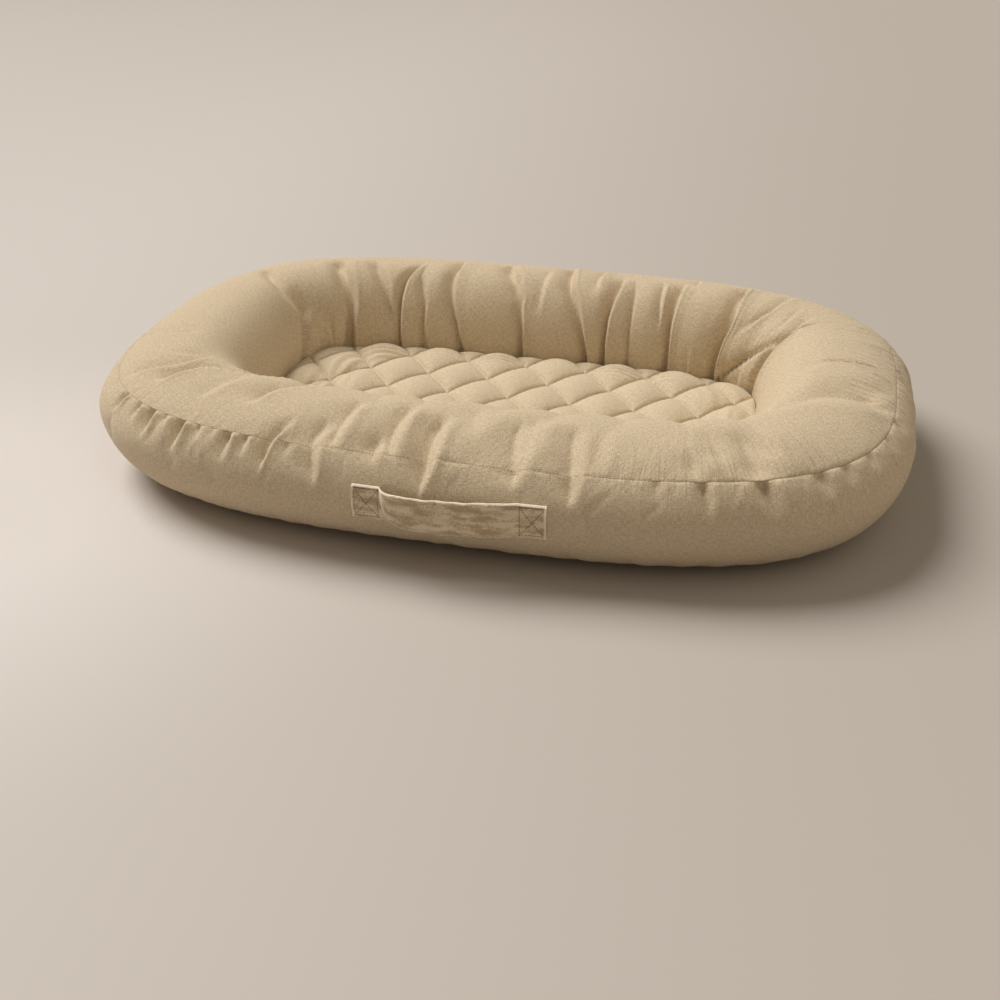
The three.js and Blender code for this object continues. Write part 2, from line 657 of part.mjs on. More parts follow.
// A stretch of the strap. Places along it are shares of the free span, so its sewn ends lie below 0 and
// above 1. It follows the panel where it is sewn, and stands off flat where it is free.
function strapGeometry(spanShares) {
  const rows = (lift) => spanShares.map((share) => {
    const x = handleStart + HANDLE_BOX_LENGTH + share * spanLength;
    const free = Math.sin(Math.PI * THREE.MathUtils.clamp(share, 0, 1) ** HANDLE_BOW_LEAN_SHARE);
    return Array.from({ length: STRAP_STEPS + 1 }, (_, j) => {
      const z = HANDLE_MIDDLE_HEIGHT + HANDLE_WIDTH * (j / STRAP_STEPS - 1 / 2);
      const panelY = -halfWidthAt(x) + sideInset(z) * (1 - free);
      return new THREE.Vector3(x, panelY - LAYER_GAP - lift - HANDLE_BOW * free, z);
    });
  });
  return sheetGeometry(rows(HANDLE_THICKNESS), rows(0), false);
}

const boxShare = HANDLE_BOX_LENGTH / spanLength;
const [gripStart, gripEnd] = HANDLE_GRIP_SHARES;
const seamShare = SEAM_GAP / spanLength;
const evenShares = (from, to, steps) =>
  Array.from({ length: steps + 1 }, (_, i) => from + ((to - from) * i) / steps);
addPiece("handle_end_left", strapGeometry([
  ...evenShares(-boxShare, 0, 2),
  ...evenShares(0, gripStart, 4).slice(1),
]), LINEN_SHADE);
addPiece("handle_grip", strapGeometry(
  evenShares(gripStart + seamShare, gripEnd - seamShare, 8),
), LINEN_SHADE);
addPiece("handle_end_right", strapGeometry([
  ...evenShares(gripEnd, 1, 3),
  ...evenShares(1, 1 + boxShare, 2).slice(1),
]), LINEN_SHADE);

export default lounger;
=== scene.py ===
# An infant lounger: an oval ring bolster in a sewn linen cover round a diamond-quilted floor.
# A strap handle is sewn on its front side, and a zip closes the cover underneath.
# Metres: +X along the length, -Y towards the handle, +Z up, and the ground at Z = 0.

import math

import bmesh
import bpy
import numpy as np
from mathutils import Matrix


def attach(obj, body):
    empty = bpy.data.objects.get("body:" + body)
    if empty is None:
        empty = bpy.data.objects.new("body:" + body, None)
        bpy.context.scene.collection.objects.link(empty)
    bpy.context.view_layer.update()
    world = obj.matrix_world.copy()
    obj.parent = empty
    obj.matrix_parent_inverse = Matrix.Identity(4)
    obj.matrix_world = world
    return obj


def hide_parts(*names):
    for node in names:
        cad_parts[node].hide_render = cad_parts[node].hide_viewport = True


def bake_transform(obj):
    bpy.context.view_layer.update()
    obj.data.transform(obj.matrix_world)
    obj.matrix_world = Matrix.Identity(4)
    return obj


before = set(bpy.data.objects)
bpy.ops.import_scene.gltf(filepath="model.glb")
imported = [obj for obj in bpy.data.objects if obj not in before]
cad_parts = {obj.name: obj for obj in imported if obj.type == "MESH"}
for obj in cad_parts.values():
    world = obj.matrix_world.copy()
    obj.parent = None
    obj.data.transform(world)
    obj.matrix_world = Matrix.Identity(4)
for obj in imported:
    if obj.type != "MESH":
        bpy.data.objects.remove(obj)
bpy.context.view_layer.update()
scene = bpy.context.scene
scene.view_settings.view_transform = "Standard"

# Camera
# It looks down on the handle's side from the front, with the right end of the lounger a little nearer.

def placed(name, data):
    """A new object in the scene, at the origin."""
    made = bpy.data.objects.new(name, data)
    scene.collection.objects.link(made)
    return made


camera_data = bpy.data.cameras.new("camera")
camera_data.lens = 47.604
scene.camera = placed("camera", camera_data)
scene.camera.location = (0.27817, -1.10898, 0.57103)
scene.camera.rotation_euler = (1.06166, 0.004768, 0.250398)


# Studio
# A pale seamless floor that runs out of view, one soft lamp high on the left behind the lounger, a weak
# reflector opposite it, and even light from all round.

class Tone:
    """A socket in a material. Sums and products of tones add the Math nodes that they need."""

    def __init__(self, socket):
        self.socket = socket

    def node(self, kind, settings, sockets, output=0):
        """Adds a node, with its settings first and then the values or links of its sockets."""
        tree = self.socket.id_data
        made = tree.nodes.new(kind)
        for name, value in settings.items():
            if name == "stops":
                ramp = made.color_ramp
                while len(ramp.elements) < len(value):
                    ramp.elements.new(1)
                for stop, (place, shade) in zip(ramp.elements, value):
                    stop.position, stop.color = place, shade
            else:
                setattr(made, name, value)
        for name, value in sockets.items():
            if isinstance(value, Tone):
                tree.links.new(value.socket, made.inputs[name])
            else:
                made.inputs[name].default_value = value
        return Tone(made.outputs[output])

    def math(self, operation, *values):
        return self.node("ShaderNodeMath", {"operation": operation}, dict(enumerate(values)))

    def axis(self, number):
        return self.node("ShaderNodeSeparateXYZ", {}, {"Vector": self}, number)

    def absolute(self):
        return self.math("ABSOLUTE", self)

    def sine(self):
        return self.math("SINE", self)

    def stretched(self, scale, shift=(0, 0, 0)):
        return self.node("ShaderNodeMapping", {}, {"Vector": self, "Scale": scale, "Location": shift})

    def noise(self, scale, detail, output=0):
        """Cloudy noise over the places that this tone gives."""
        return self.node("ShaderNodeTexNoise", {}, {"Vector": self, "Scale": scale, "Detail": detail}, output)

    def fading(self, start, end, low, high):
        """Goes smoothly from low to high while this tone goes from start to end."""
        return self.node(
            "ShaderNodeMapRange",
            {"interpolation_type": "SMOOTHSTEP"},
            {"Value": self, "From Min": start, "From Max": end, "To Min": low, "To Max": high},
        )

    def colour(self, low, high):
        """Goes from one colour to another with this tone."""
        return self.node("ShaderNodeMix", {"data_type": "RGBA"}, {"Factor": self, "A": low, "B": high}, 2)

    def bump(self, strength, distance):
        return self.node("ShaderNodeBump", {}, {"Strength": strength, "Distance": distance, "Height": self})

    def feeds(self, shader, name):
        self.socket.id_data.links.new(self.socket, shader.inputs[name])

    def __add__(self, other):
        return self.math("ADD", self, other)

    def __sub__(self, other):
        return self.math("SUBTRACT", self, other)

    def __mul__(self, other):
        return self.math("MULTIPLY", self, other)

    def __rsub__(self, other):
        return self.math("SUBTRACT", other, self)

    __radd__ = __add__
    __rmul__ = __mul__


def srgb(red, green, blue):
    """The linear colour of 0 to 255 screen values."""
    parts = [part / 255 for part in (red, green, blue)]
    return tuple(p / 12.92 if p <= 0.04045 else ((p + 0.055) / 1.055) ** 2.4 for p in parts) + (1,)


def finish(name, roughness, **constants):
    """A new material: its shader's node, and a tone to start its nodes from."""
    material = bpy.data.materials.new(name)
    material.use_nodes = True
    shader = material.node_tree.nodes["Principled BSDF"]
    shader.inputs["Roughness"].default_value = roughness
    for socket, value in constants.items():
        shader.inputs[socket.replace("_", " ")].default_value = value
    place = material.node_tree.nodes.new("ShaderNodeTexCoord")
    return material, shader, Tone(place.outputs["Object"])


def seamless_floor():
    material, shader, place = finish("seamless_floor", 0.9, Specular_IOR_Level=0.1)
    # The floor's colour paints light: paler towards the lamp on the left, palest round a pool at the lounger's left
    # front, and darker further back
    drift = place.noise(0.45, 1)
    from_painted_light_pool = place.node(
        "ShaderNodeVectorMath", {"operation": "DISTANCE"}, {0: place, 1: (-0.42, -0.27, 0)}, 1)
    painted_falloff = 1 - place.axis(1) * 0.25
    painted_light = place.axis(0).fading(0.5, -0.8, 0, 0.75) * painted_falloff + from_painted_light_pool.fading(0.45, 0, 0, 0.5)
    tone = ((drift - 0.5) * 0.15 + painted_light).colour(srgb(182, 174, 165), srgb(222, 215, 210))
    tone.feeds(shader, "Base Color")
    return material


FLOOR_REACH = 15
mesh = bpy.data.meshes.new("floor")
corners = [(-1, -1), (1, -1), (1, 1), (-1, 1)]
mesh.from_pydata([(x * FLOOR_REACH, y * FLOOR_REACH, 0) for x, y in corners], [], [(0, 1, 2, 3)])
floor = placed("floor", mesh)
floor.data.materials.append(seamless_floor())

# Each light's strength, softness, colour, and how far it leans back and to the side
for name, strength, softness, colour, back, aside in [
    ("lamp", 3.1, 36, (1, 0.985, 0.965), -16, -39),
    ("reflector", 0.55, 80, (1, 0.9, 0.76), 5, 44),
]:
    light = bpy.data.lights.new(name, "SUN")
    light.energy = strength
    light.angle = math.radians(softness)
    light.color = colour
    placed(name, light).rotation_euler = (math.radians(back), math.radians(aside), 0)

scene.world = bpy.data.worlds.new("room")
scene.world.use_nodes = True
room_light = scene.world.node_tree.nodes["Background"]
room_light.inputs["Color"].default_value = (1, 0.90, 0.76, 1)
room_light.inputs["Strength"].default_value = 0.2

# Fibre ring
# Loose polyester fibre packs the bolster to a firm oval ring, flat where it rests on the ground. Its form is
# given by the outline seen from above and by the section, which the casing and the cover share.

HALF_LENGTH, HALF_WIDTH = 0.370, 0.2485
BOLSTER_WIDTH = 0.1395
OUTLINE_SQUARENESS, WELL_SQUARENESS = 3.05, 4.6
BULGE_HEIGHT, CROWN_HEIGHT, WELL_SEAM_HEIGHT = 0.060, 0.109, 0.0395
CROWN_INSET = BOLSTER_WIDTH * 0.588
FOOT_INSETS = BOLSTER_WIDTH * 0.473, BOLSTER_WIDTH * 0.803
SEAM_SHARES = {"upper": 0.453, "lower": 0.44}


def oval(length_radius, width_radius, squareness, facing):
    """The point of a squared oval that faces outwards at an angle."""
    along = np.abs(length_radius * np.cos(facing))
    across = np.abs(width_radius * np.sin(facing))
    power = 1 / (squareness - 1)
    scale = (along ** (squareness * power) + across ** (squareness * power)) ** (-1 / squareness)
    return np.stack([
        np.sign(np.cos(facing)) * length_radius * along ** power * scale,
        np.sign(np.sin(facing)) * width_radius * across ** power * scale,
    ], -1)


def lengths_along(points):
    steps = np.linalg.norm(np.diff(points, axis=0), axis=1)
    return np.concatenate([[0], np.cumsum(steps)])


# The facings are close together near the four straight stretches, where the oval turns least
run = np.linspace(0, 1, 1801)[:-1]
quarter_part = run ** 4 / (run ** 4 + (1 - run) ** 4)
outline_facings = np.append((np.arange(4)[:, None] + quarter_part[None, :]).ravel(), 4) * math.pi / 2
outline_lengths = lengths_along(oval(HALF_LENGTH, HALF_WIDTH, OUTLINE_SQUARENESS, outline_facings))
OUTLINE_LENGTH = outline_lengths[-1]


def section_arc(name, start, end):
    """A stretch of one of the section's four quarter ellipses, as insets from the outline and heights."""
    centre, radii, quarter = {
        "lower": ((FOOT_INSETS[0], BULGE_HEIGHT), (FOOT_INSETS[0], BULGE_HEIGHT), 3),
        "upper": ((CROWN_INSET, BULGE_HEIGHT), (CROWN_INSET, CROWN_HEIGHT - BULGE_HEIGHT), 2),
        "inner": (
            (CROWN_INSET, WELL_SEAM_HEIGHT),
            (BOLSTER_WIDTH - CROWN_INSET, CROWN_HEIGHT - WELL_SEAM_HEIGHT),
            1,
        ),
        "under": ((FOOT_INSETS[1], WELL_SEAM_HEIGHT), (BOLSTER_WIDTH - FOOT_INSETS[1], WELL_SEAM_HEIGHT), 0),
    }[name]
    angles = (quarter - np.linspace(start, end, 160)) * math.pi / 2
    return np.stack([centre[0] + radii[0] * np.cos(angles), centre[1] + radii[1] * np.sin(angles)], -1)


# Places on the section are marked by their distance from the upper outer seam, over the crown and on
# round, and places between the two outer seams by a distance below it.
section = np.concatenate([
    section_arc("upper", SEAM_SHARES["upper"], 1),
    section_arc("inner", 0, 1)[1:],
    section_arc("under", 0, 1)[1:],
    section_arc("lower", 0, 1),
    section_arc("upper", 0, SEAM_SHARES["upper"])[1:],
])
section_marks = lengths_along(section)
SECTION_LENGTH = section_marks[-1]


def mark_of(point):
    """The mark of the section's corner nearest to an inset and a height."""
    return section_marks[np.argmin(np.linalg.norm(section - point, axis=1))]


CROWN_MARK = mark_of((CROWN_INSET, CROWN_HEIGHT))
WELL_MARK = mark_of((BOLSTER_WIDTH, WELL_SEAM_HEIGHT))
FOOT_MARKS = mark_of((FOOT_INSETS[1], 0)), mark_of((FOOT_INSETS[0], 0))
BULGE_MARK = mark_of((0, BULGE_HEIGHT)) - SECTION_LENGTH
LOWER_SEAM_MARK = mark_of(section_arc("lower", 0, SEAM_SHARES["lower"])[-1]) - SECTION_LENGTH


def plan_of(shares, insets):
    """Points of the plan at shares of the outline, counted from its right end, and at insets from it."""
    facings = np.interp((shares % 1) * OUTLINE_LENGTH, outline_lengths, outline_facings)
    outer = oval(HALF_LENGTH, HALF_WIDTH, OUTLINE_SQUARENESS, facings)
    well = oval(HALF_LENGTH - BOLSTER_WIDTH, HALF_WIDTH - BOLSTER_WIDTH, WELL_SQUARENESS, facings)
    part = (insets / BOLSTER_WIDTH)[..., None]
    return outer * (1 - part) + well * part


def smooth_ring(shares, marks):
    """The stuffed bolster's surface without its folds, for grids of shares and marks."""
    place = marks % SECTION_LENGTH
    plan = plan_of(shares, np.interp(place, section_marks, section[:, 0]))
    return np.concatenate([plan, np.interp(place, section_marks, section[:, 1])[..., None]], -1)


def ring_facing(shares, marks):
    """The smooth ring's outward directions."""
    share_step, mark_step = 2e-4, 4e-4
    along = smooth_ring(shares + share_step, marks) - smooth_ring(shares - share_step, marks)
    across = smooth_ring(shares, marks + mark_step) - smooth_ring(shares, marks - mark_step)
    facing = np.cross(across, along)
    return -facing / np.linalg.norm(facing, axis=-1, keepdims=True)


# The well's edge is squarer than the outline, so rows at equal shares of the outline lie far apart along the
# straight stretches of the well. Rows are spaced by a mean of both edges.
well_lengths = lengths_along(
    oval(HALF_LENGTH - BOLSTER_WIDTH, HALF_WIDTH - BOLSTER_WIDTH, WELL_SQUARENESS, outline_facings))
ring_spread = 0.68 * outline_lengths / OUTLINE_LENGTH + 0.32 * well_lengths / well_lengths[-1]


def ring_shares(count):
    return np.interp(np.arange(count) / count, ring_spread, outline_lengths / OUTLINE_LENGTH)


def grid_index(shape):
    """The numbers of a grid's points, in rows."""
    return np.arange(shape[0] * shape[1]).reshape(shape[:2])


def quads_over(index, joins_up=False):
    """The faces between rows of numbered points. The last row may join up with the first."""
    here, nexts = (index, np.roll(index, -1, 0)) if joins_up else (index[:-1], index[1:])
    return np.stack([here[:, :-1], nexts[:, :-1], nexts[:, 1:], here[:, 1:]], -1).reshape(-1, 4)


def map_cut(mesh, places):
    """Gives each corner of a mesh its place on the cloth before it was sewn, in metres."""
    layer = mesh.uv_layers.new(name="cut")
    layer.uv.foreach_set("vector", places.astype(np.float32).ravel())


def mesh_piece(name, points, faces, cut=None):
    """A smooth mesh object, with the places of its points on the cut cloth where it has a weave."""
    made = bpy.data.meshes.new(name)
    made.from_pydata(points.reshape(-1, 3).tolist(), [], faces.tolist())
    if cut is not None:
        map_cut(made, cut.reshape(-1, 2)[faces.ravel()])
    made.shade_smooth()
    return placed(name, made)


def grid_piece(name, points, joins_up, cut=None):
    return mesh_piece(name, points, quads_over(grid_index(points.shape), joins_up), cut)


def merged(piece, distance, closed=False):
    """Joins corners that lie on one another, and closes the holes that are left where asked."""
    shell = bmesh.new()
    shell.from_mesh(piece.data)
    bmesh.ops.remove_doubles(shell, verts=shell.verts, dist=distance)
    if closed:
        bmesh.ops.holes_fill(shell, edges=[edge for edge in shell.edges if edge.is_boundary])
        bmesh.ops.recalc_face_normals(shell, faces=shell.faces)
    shell.to_mesh(piece.data)
    shell.free()
    return piece


CLOSE_TO_SEAM = 0.0006, 0.0012, 0.002, 0.0032


def evenly(start, end, spacing, dense_ends=()):
    """Marks from one to another, closer together near the ends that are seams."""
    marks = np.linspace(start, end, max(2, round(abs(end - start) / spacing) + 1))
    for seam in dense_ends:
        toward = 1 if seam == min(start, end) else -1
        marks = np.concatenate([marks, seam + toward * np.array(CLOSE_TO_SEAM)])
    marks = np.unique(np.round(marks, 6))
    return marks if start < end else marks[::-1]


def fibre():
    material, shader, place = finish("fibre", 1.0, Sheen_Weight=0.3)
    tufts = place.noise(90, 5)
    tufts.bump(0.6, 0.002).feeds(shader, "Normal")
    tufts.colour(srgb(222, 220, 214), srgb(246, 245, 241)).feeds(shader, "Base Color")
    return material


def inside_ring(name, depth, marks):
    """A smooth ring a depth under the bolster's surface, over a run of marks on its section."""
    shares, places = np.meshgrid(ring_shares(240), marks, indexing="ij")
    return grid_piece(name, smooth_ring(shares, places) - ring_facing(shares, places) * depth, True)


FIBRE_DEPTH, FIBRE_SPACING = 0.0112, 0.006
fibre_finish = fibre()
ring_marks = evenly(0, SECTION_LENGTH, FIBRE_SPACING)
ring_marks[-1] = ring_marks[0]
fibre_ring = merged(inside_ring("fibre_ring", FIBRE_DEPTH, ring_marks), 1e-6)
fibre_ring.data.materials.append(fibre_finish)
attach(fibre_ring, "lounger")
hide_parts("bolster_fill")

# Lining
# A casing of plain natural cotton, in an upper and a lower half, holds the fibre when the cover is off.

LINING_DEPTH, LINING_THICKNESS, LINING_GAP = 0.0100, 0.0005, 0.0004


def thickened(piece, thickness):
    """Gives a sheet its thickness, inwards from its face."""
    wall = piece.modifiers.new("thickness", "SOLIDIFY")
    wall.thickness = thickness
    wall.offset = -1
    return piece


def plain_cotton():
    material, shader, place = finish("lining_cotton", 0.9)
    threads = place.noise(700, 3)
    threads.colour(srgb(226, 219, 204), srgb(240, 235, 224)).feeds(shader, "Base Color")
    threads.bump(0.4, 0.0003).feeds(shader, "Normal")
    return material


lining_cotton = plain_cotton()
for name, start, end, node in [
    ("lining_upper", BULGE_MARK, WELL_MARK - LINING_GAP, "liner_top"),
    ("lining_lower", WELL_MARK + LINING_GAP, BULGE_MARK + SECTION_LENGTH - LINING_GAP, "liner_base"),
]:
    lining = thickened(inside_ring(name, LINING_DEPTH, np.linspace(start, end, 48)), LINING_THICKNESS)
    lining.data.materials.append(lining_cotton)
    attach(lining, "lounger")
    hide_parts(node)

# Cover's top panel
# One ring of sand-coloured plain-weave linen over the crown of the bolster, from the upper outer seam in
# and down to the quilted floor. It is cut larger than its seams, so it gathers into folds along them.

COVER_THICKNESS = 0.0012
THREAD_PITCH = 0.0017
STATIONS = 1920

# The longer gathers of the cover: how wide and how deep each is in millimetres, and then its way across
# the cover, in millimetres past the upper seam and shares of the outline.
COVER_FOLDS = [
    (2.4, 4.5, (-30, 0.6790), (-6, 0.6810), (2, 0.6823), (14, 0.6855), (28, 0.6920)),
    (4.0, 4.5, (-34, 0.7028), (-13, 0.7005), (6, 0.6995), (17, 0.7020), (36, 0.7060)),
    (3.6, 5.0, (-4, 0.7075), (22, 0.7105), (43, 0.7133), (64, 0.7200)),
    (2.8, 4.0, (-12, 0.7258), (10, 0.7268), (24, 0.7295)),
    (3.6, 5.5, (-4, 0.7332), (14, 0.7325), (27, 0.7333), (43, 0.7358), (68, 0.7405)),
    (3.8, 7.5, (-34, 0.7444), (-17, 0.7454), (5, 0.7465), (25, 0.7473), (54, 0.7491)),
    (4.5, 2.2, (24, 0.7558), (51, 0.7534), (80, 0.7513)),
    (3.8, 4.6, (-18, 0.7795), (2, 0.7765), (18, 0.7732), (36, 0.7702), (62, 0.7665)),
    (3.6, 2.6, (6, 0.7798), (35, 0.7768), (70, 0.7720)),
    (3.2, 4.6, (-28, 0.8018), (-8, 0.7998), (9, 0.7980), (30, 0.7948), (58, 0.7905)),
    (3.6, 1.6, (-4, 0.8065), (26, 0.8065), (58, 0.8046)),
    (3.0, 3.0, (-3, 0.8502), (12, 0.8473), (34, 0.8450)),
    (3.2, 3.4, (14, 0.8610), (31, 0.8598), (44, 0.8583), (66, 0.8552)),
    (4.4, 5.2, (-5, 0.8762), (15, 0.8742), (32, 0.8742), (64, 0.8754)),
    (3.6, 2.6, (14, 0.8846), (30, 0.8825), (54, 0.8785)),
    (3.6, 5.0, (10, 0.9780), (22, 0.9745), (42, 0.9703), (58, 0.9660), (72, 0.9565), (82, 0.9470), (114, 0.9240)),
    (2.4, 2.0, (-2, 0.9738), (23, 0.9667), (44, 0.9646)),
    (2.4, 1.2, (-2, 0.9900), (34, 0.9838), (55, 0.9796)),
    (2.4, 1.5, (-2, 0.0000), (30, 0.0000)),
    (3.0, 1.9, (12, 0.0080), (45, 0.0037), (70, 0.0000), (98, 0.9998)),
    (2.4, 1.3, (-4, 0.0362), (15, 0.0333), (34, 0.0306)),
    (2.8, 1.6, (4, 0.0530), (30, 0.0600), (48, 0.0650)),
    (4.6, 5.0, (86, 0.0640), (107, 0.0638), (126, 0.0658), (142, 0.0688), (165, 0.0713)),
    (3.0, 2.8, (64, 0.0765), (76, 0.0713), (94, 0.0630), (109, 0.0683), (124, 0.0820), (142, 0.1072), (165, 0.1370)),
    (3.0, 2.0, (56, 0.0960), (83, 0.0848), (102, 0.0780)),
    (4.0, 2.2, (34, 0.1166), (82, 0.1080), (104, 0.1160), (118, 0.1300)),
    (4.6, 8.5, (34, 0.1450), (77, 0.1415), (98, 0.1385), (112, 0.1380), (127, 0.1415), (145, 0.1428), (165, 0.1438)),
    (2.8, 2.0, (24, 0.1762), (66, 0.1756)),
    (4.2, 5.8, (56, 0.1835), (74, 0.1857), (96, 0.1885), (118, 0.1908), (165, 0.1915)),
    (3.4, 2.6, (56, 0.1960), (96, 0.1985), (130, 0.1990)),
    (3.4, 2.0, (80, 0.2140), (130, 0.2182), (165, 0.2190)),
    (4.2, 6.0, (56, 0.2190), (75, 0.2225), (98, 0.2270), (119, 0.2300), (143, 0.2313), (165, 0.2313)),
    (3.4, 2.6, (16, 0.2280), (69, 0.2335), (92, 0.2350)),
    (4.2, 6.4, (18, 0.2440), (84, 0.2447), (110, 0.2425), (151, 0.2393), (165, 0.2386)),
    (4.6, 1.8, (50, 0.2500), (124, 0.2500)),
    (4.4, 6.8, (38, 0.2660), (81, 0.2555), (106, 0.2525), (137, 0.2514), (165, 0.2511)),
    (4.0, 5.0, (38, 0.2912), (86, 0.2865), (113, 0.2820), (138, 0.2760), (165, 0.2718)),
    (4.4, 2.4, (86, 0.3075), (121, 0.2985), (165, 0.2973)),
    (3.6, 4.6, (60, 0.3110), (93, 0.3180), (116, 0.3183), (165, 0.3160)),
    (4.0, 4.6, (56, 0.3470), (75, 0.3422), (108, 0.3317), (133, 0.3237), (148, 0.3190)),
    (4.8, 8.8, (46, 0.3730), (91, 0.3710), (108, 0.3685), (126, 0.3668), (142, 0.3698), (165, 0.3733)),
    (4.8, 5.6, (34, 0.4240), (64, 0.4338), (90, 0.4388), (107, 0.4355), (122, 0.4330), (139, 0.4430), (165, 0.4610)),
    (3.2, 1.8, (-8, 0.5268), (13, 0.5270), (45, 0.5353), (76, 0.5375)),
    (3.0, 2.2, (50, 0.5690), (70, 0.5790), (90, 0.5905)),
    (3.2, 3.4, (8, 0.5788), (29, 0.5825), (45, 0.5873), (62, 0.5887), (75, 0.5903), (92, 0.5935)),
    (3.4, 6.2, (22, 0.5985), (46, 0.6023), (60, 0.6060), (70, 0.6150), (80, 0.6320), (90, 0.6530), (110, 0.6700),
     (165, 0.6850)),
    (3.4, 4.2, (32, 0.6612), (52, 0.6648), (62, 0.6695), (72, 0.6780), (90, 0.6900), (165, 0.7080)),
    (3.4, 1.8, (20, 0.6330), (56, 0.6380), (78, 0.6480)),
    (4.4, 4.0, (92, 0.7260), (165, 0.7235)),
    (4.4, 4.0, (96, 0.7430), (165, 0.7475)),
    (4.4, 4.0, (90, 0.7580), (165, 0.7560)),
    (4.4, 4.0, (96, 0.7790), (165, 0.7770)),
    (4.4, 4.0, (90, 0.8120), (165, 0.8090)),
    (4.4, 4.0, (94, 0.8460), (165, 0.8520)),
    (4.4, 4.0, (88, 0.8860), (165, 0.8800)),
]
# The short puckers at the upper seam, on the side strip: place, lean, length, width and depth.
SEAM_PUCKERS = [
    (0.5575, 0.004, 9, 2.6, 1.2), (0.5780, -0.001, 8, 2.4, 1.0), (0.5948, -0.003, 17, 3.0, 2.6),
    (0.6082, 0.000, 14, 2.6, 1.8), (0.6182, 0.000, 20, 3.4, 3.6), (0.6275, -0.001, 9, 2.6, 1.2),
    (0.6372, -0.001, 23, 3.4, 4.0), (0.6470, 0.000, 11, 2.6, 1.6), (0.6545, 0.000, 8, 2.2, 1.0),
    (0.6622, -0.001, 20, 3.2, 3.4), (0.6708, -0.001, 14, 2.6, 2.0), (0.6900, -0.001, 10, 2.6, 1.2),
    (0.8325, 0.001, 14, 2.6, 1.2), (0.8505, 0.003, 27, 2.8, 3.0), (0.8748, 0.004, 29, 3.6, 4.6),
    (0.8998, 0.001, 18, 3.2, 2.4), (0.9135, 0.000, 13, 2.8, 1.8), (0.9300, -0.001, 10, 2.6, 1.2),
    (0.9480, 0.000, 12, 2.6, 1.0), (0.9660, 0.000, 10, 2.4, 1.0),
]
HANDLE_SHARES = 0.712, 0.796


def crease(offset, width, lean):
    """A valley 1 deep. Where it leans, one side is steep and ends in a ridge, and the other is longer."""
    side = np.where(offset > 0, lean, -lean)
    from_line = np.abs(offset) / (width * (0.95 - 0.45 * side))
    ridge = (0.24 + 0.22 * side) * np.exp(-((from_line - 2.1) / 1.1) ** 2)
    return ridge - np.exp(-from_line ** 1.35)


def lean_at(shares):
    """Which side of a fold is the steep one: the side nearer the front right."""
    turn = 2 * math.pi * shares
    return -(np.sin(turn) + 0.5 * np.cos(turn)) / 1.118


def ease(part):
    part = np.clip(part, 0, 1)
    return part * part * (3 - 2 * part)


def nearest_way(distance, loop):
    """A distance round a loop, taken the shorter way."""
    return (distance + loop / 2) % loop - loop / 2


def unwound(way):
    """The marks of a fold's way, and its shares without the jump at the ring's right end."""
    marks, shares = np.array(way).T
    return marks, np.unwrap(shares * 2 * math.pi) / (2 * math.pi)


# In millimetres: how far a fold takes to deepen from its start and before its end, where folds that reach the
# well end at least, where the cover starts to round out between them, and by how much at most
FOLD_TAPERS = 17, 20
WELL_FOLD_END, LOBES_START, LOBE_RISE = 145, 45, 5


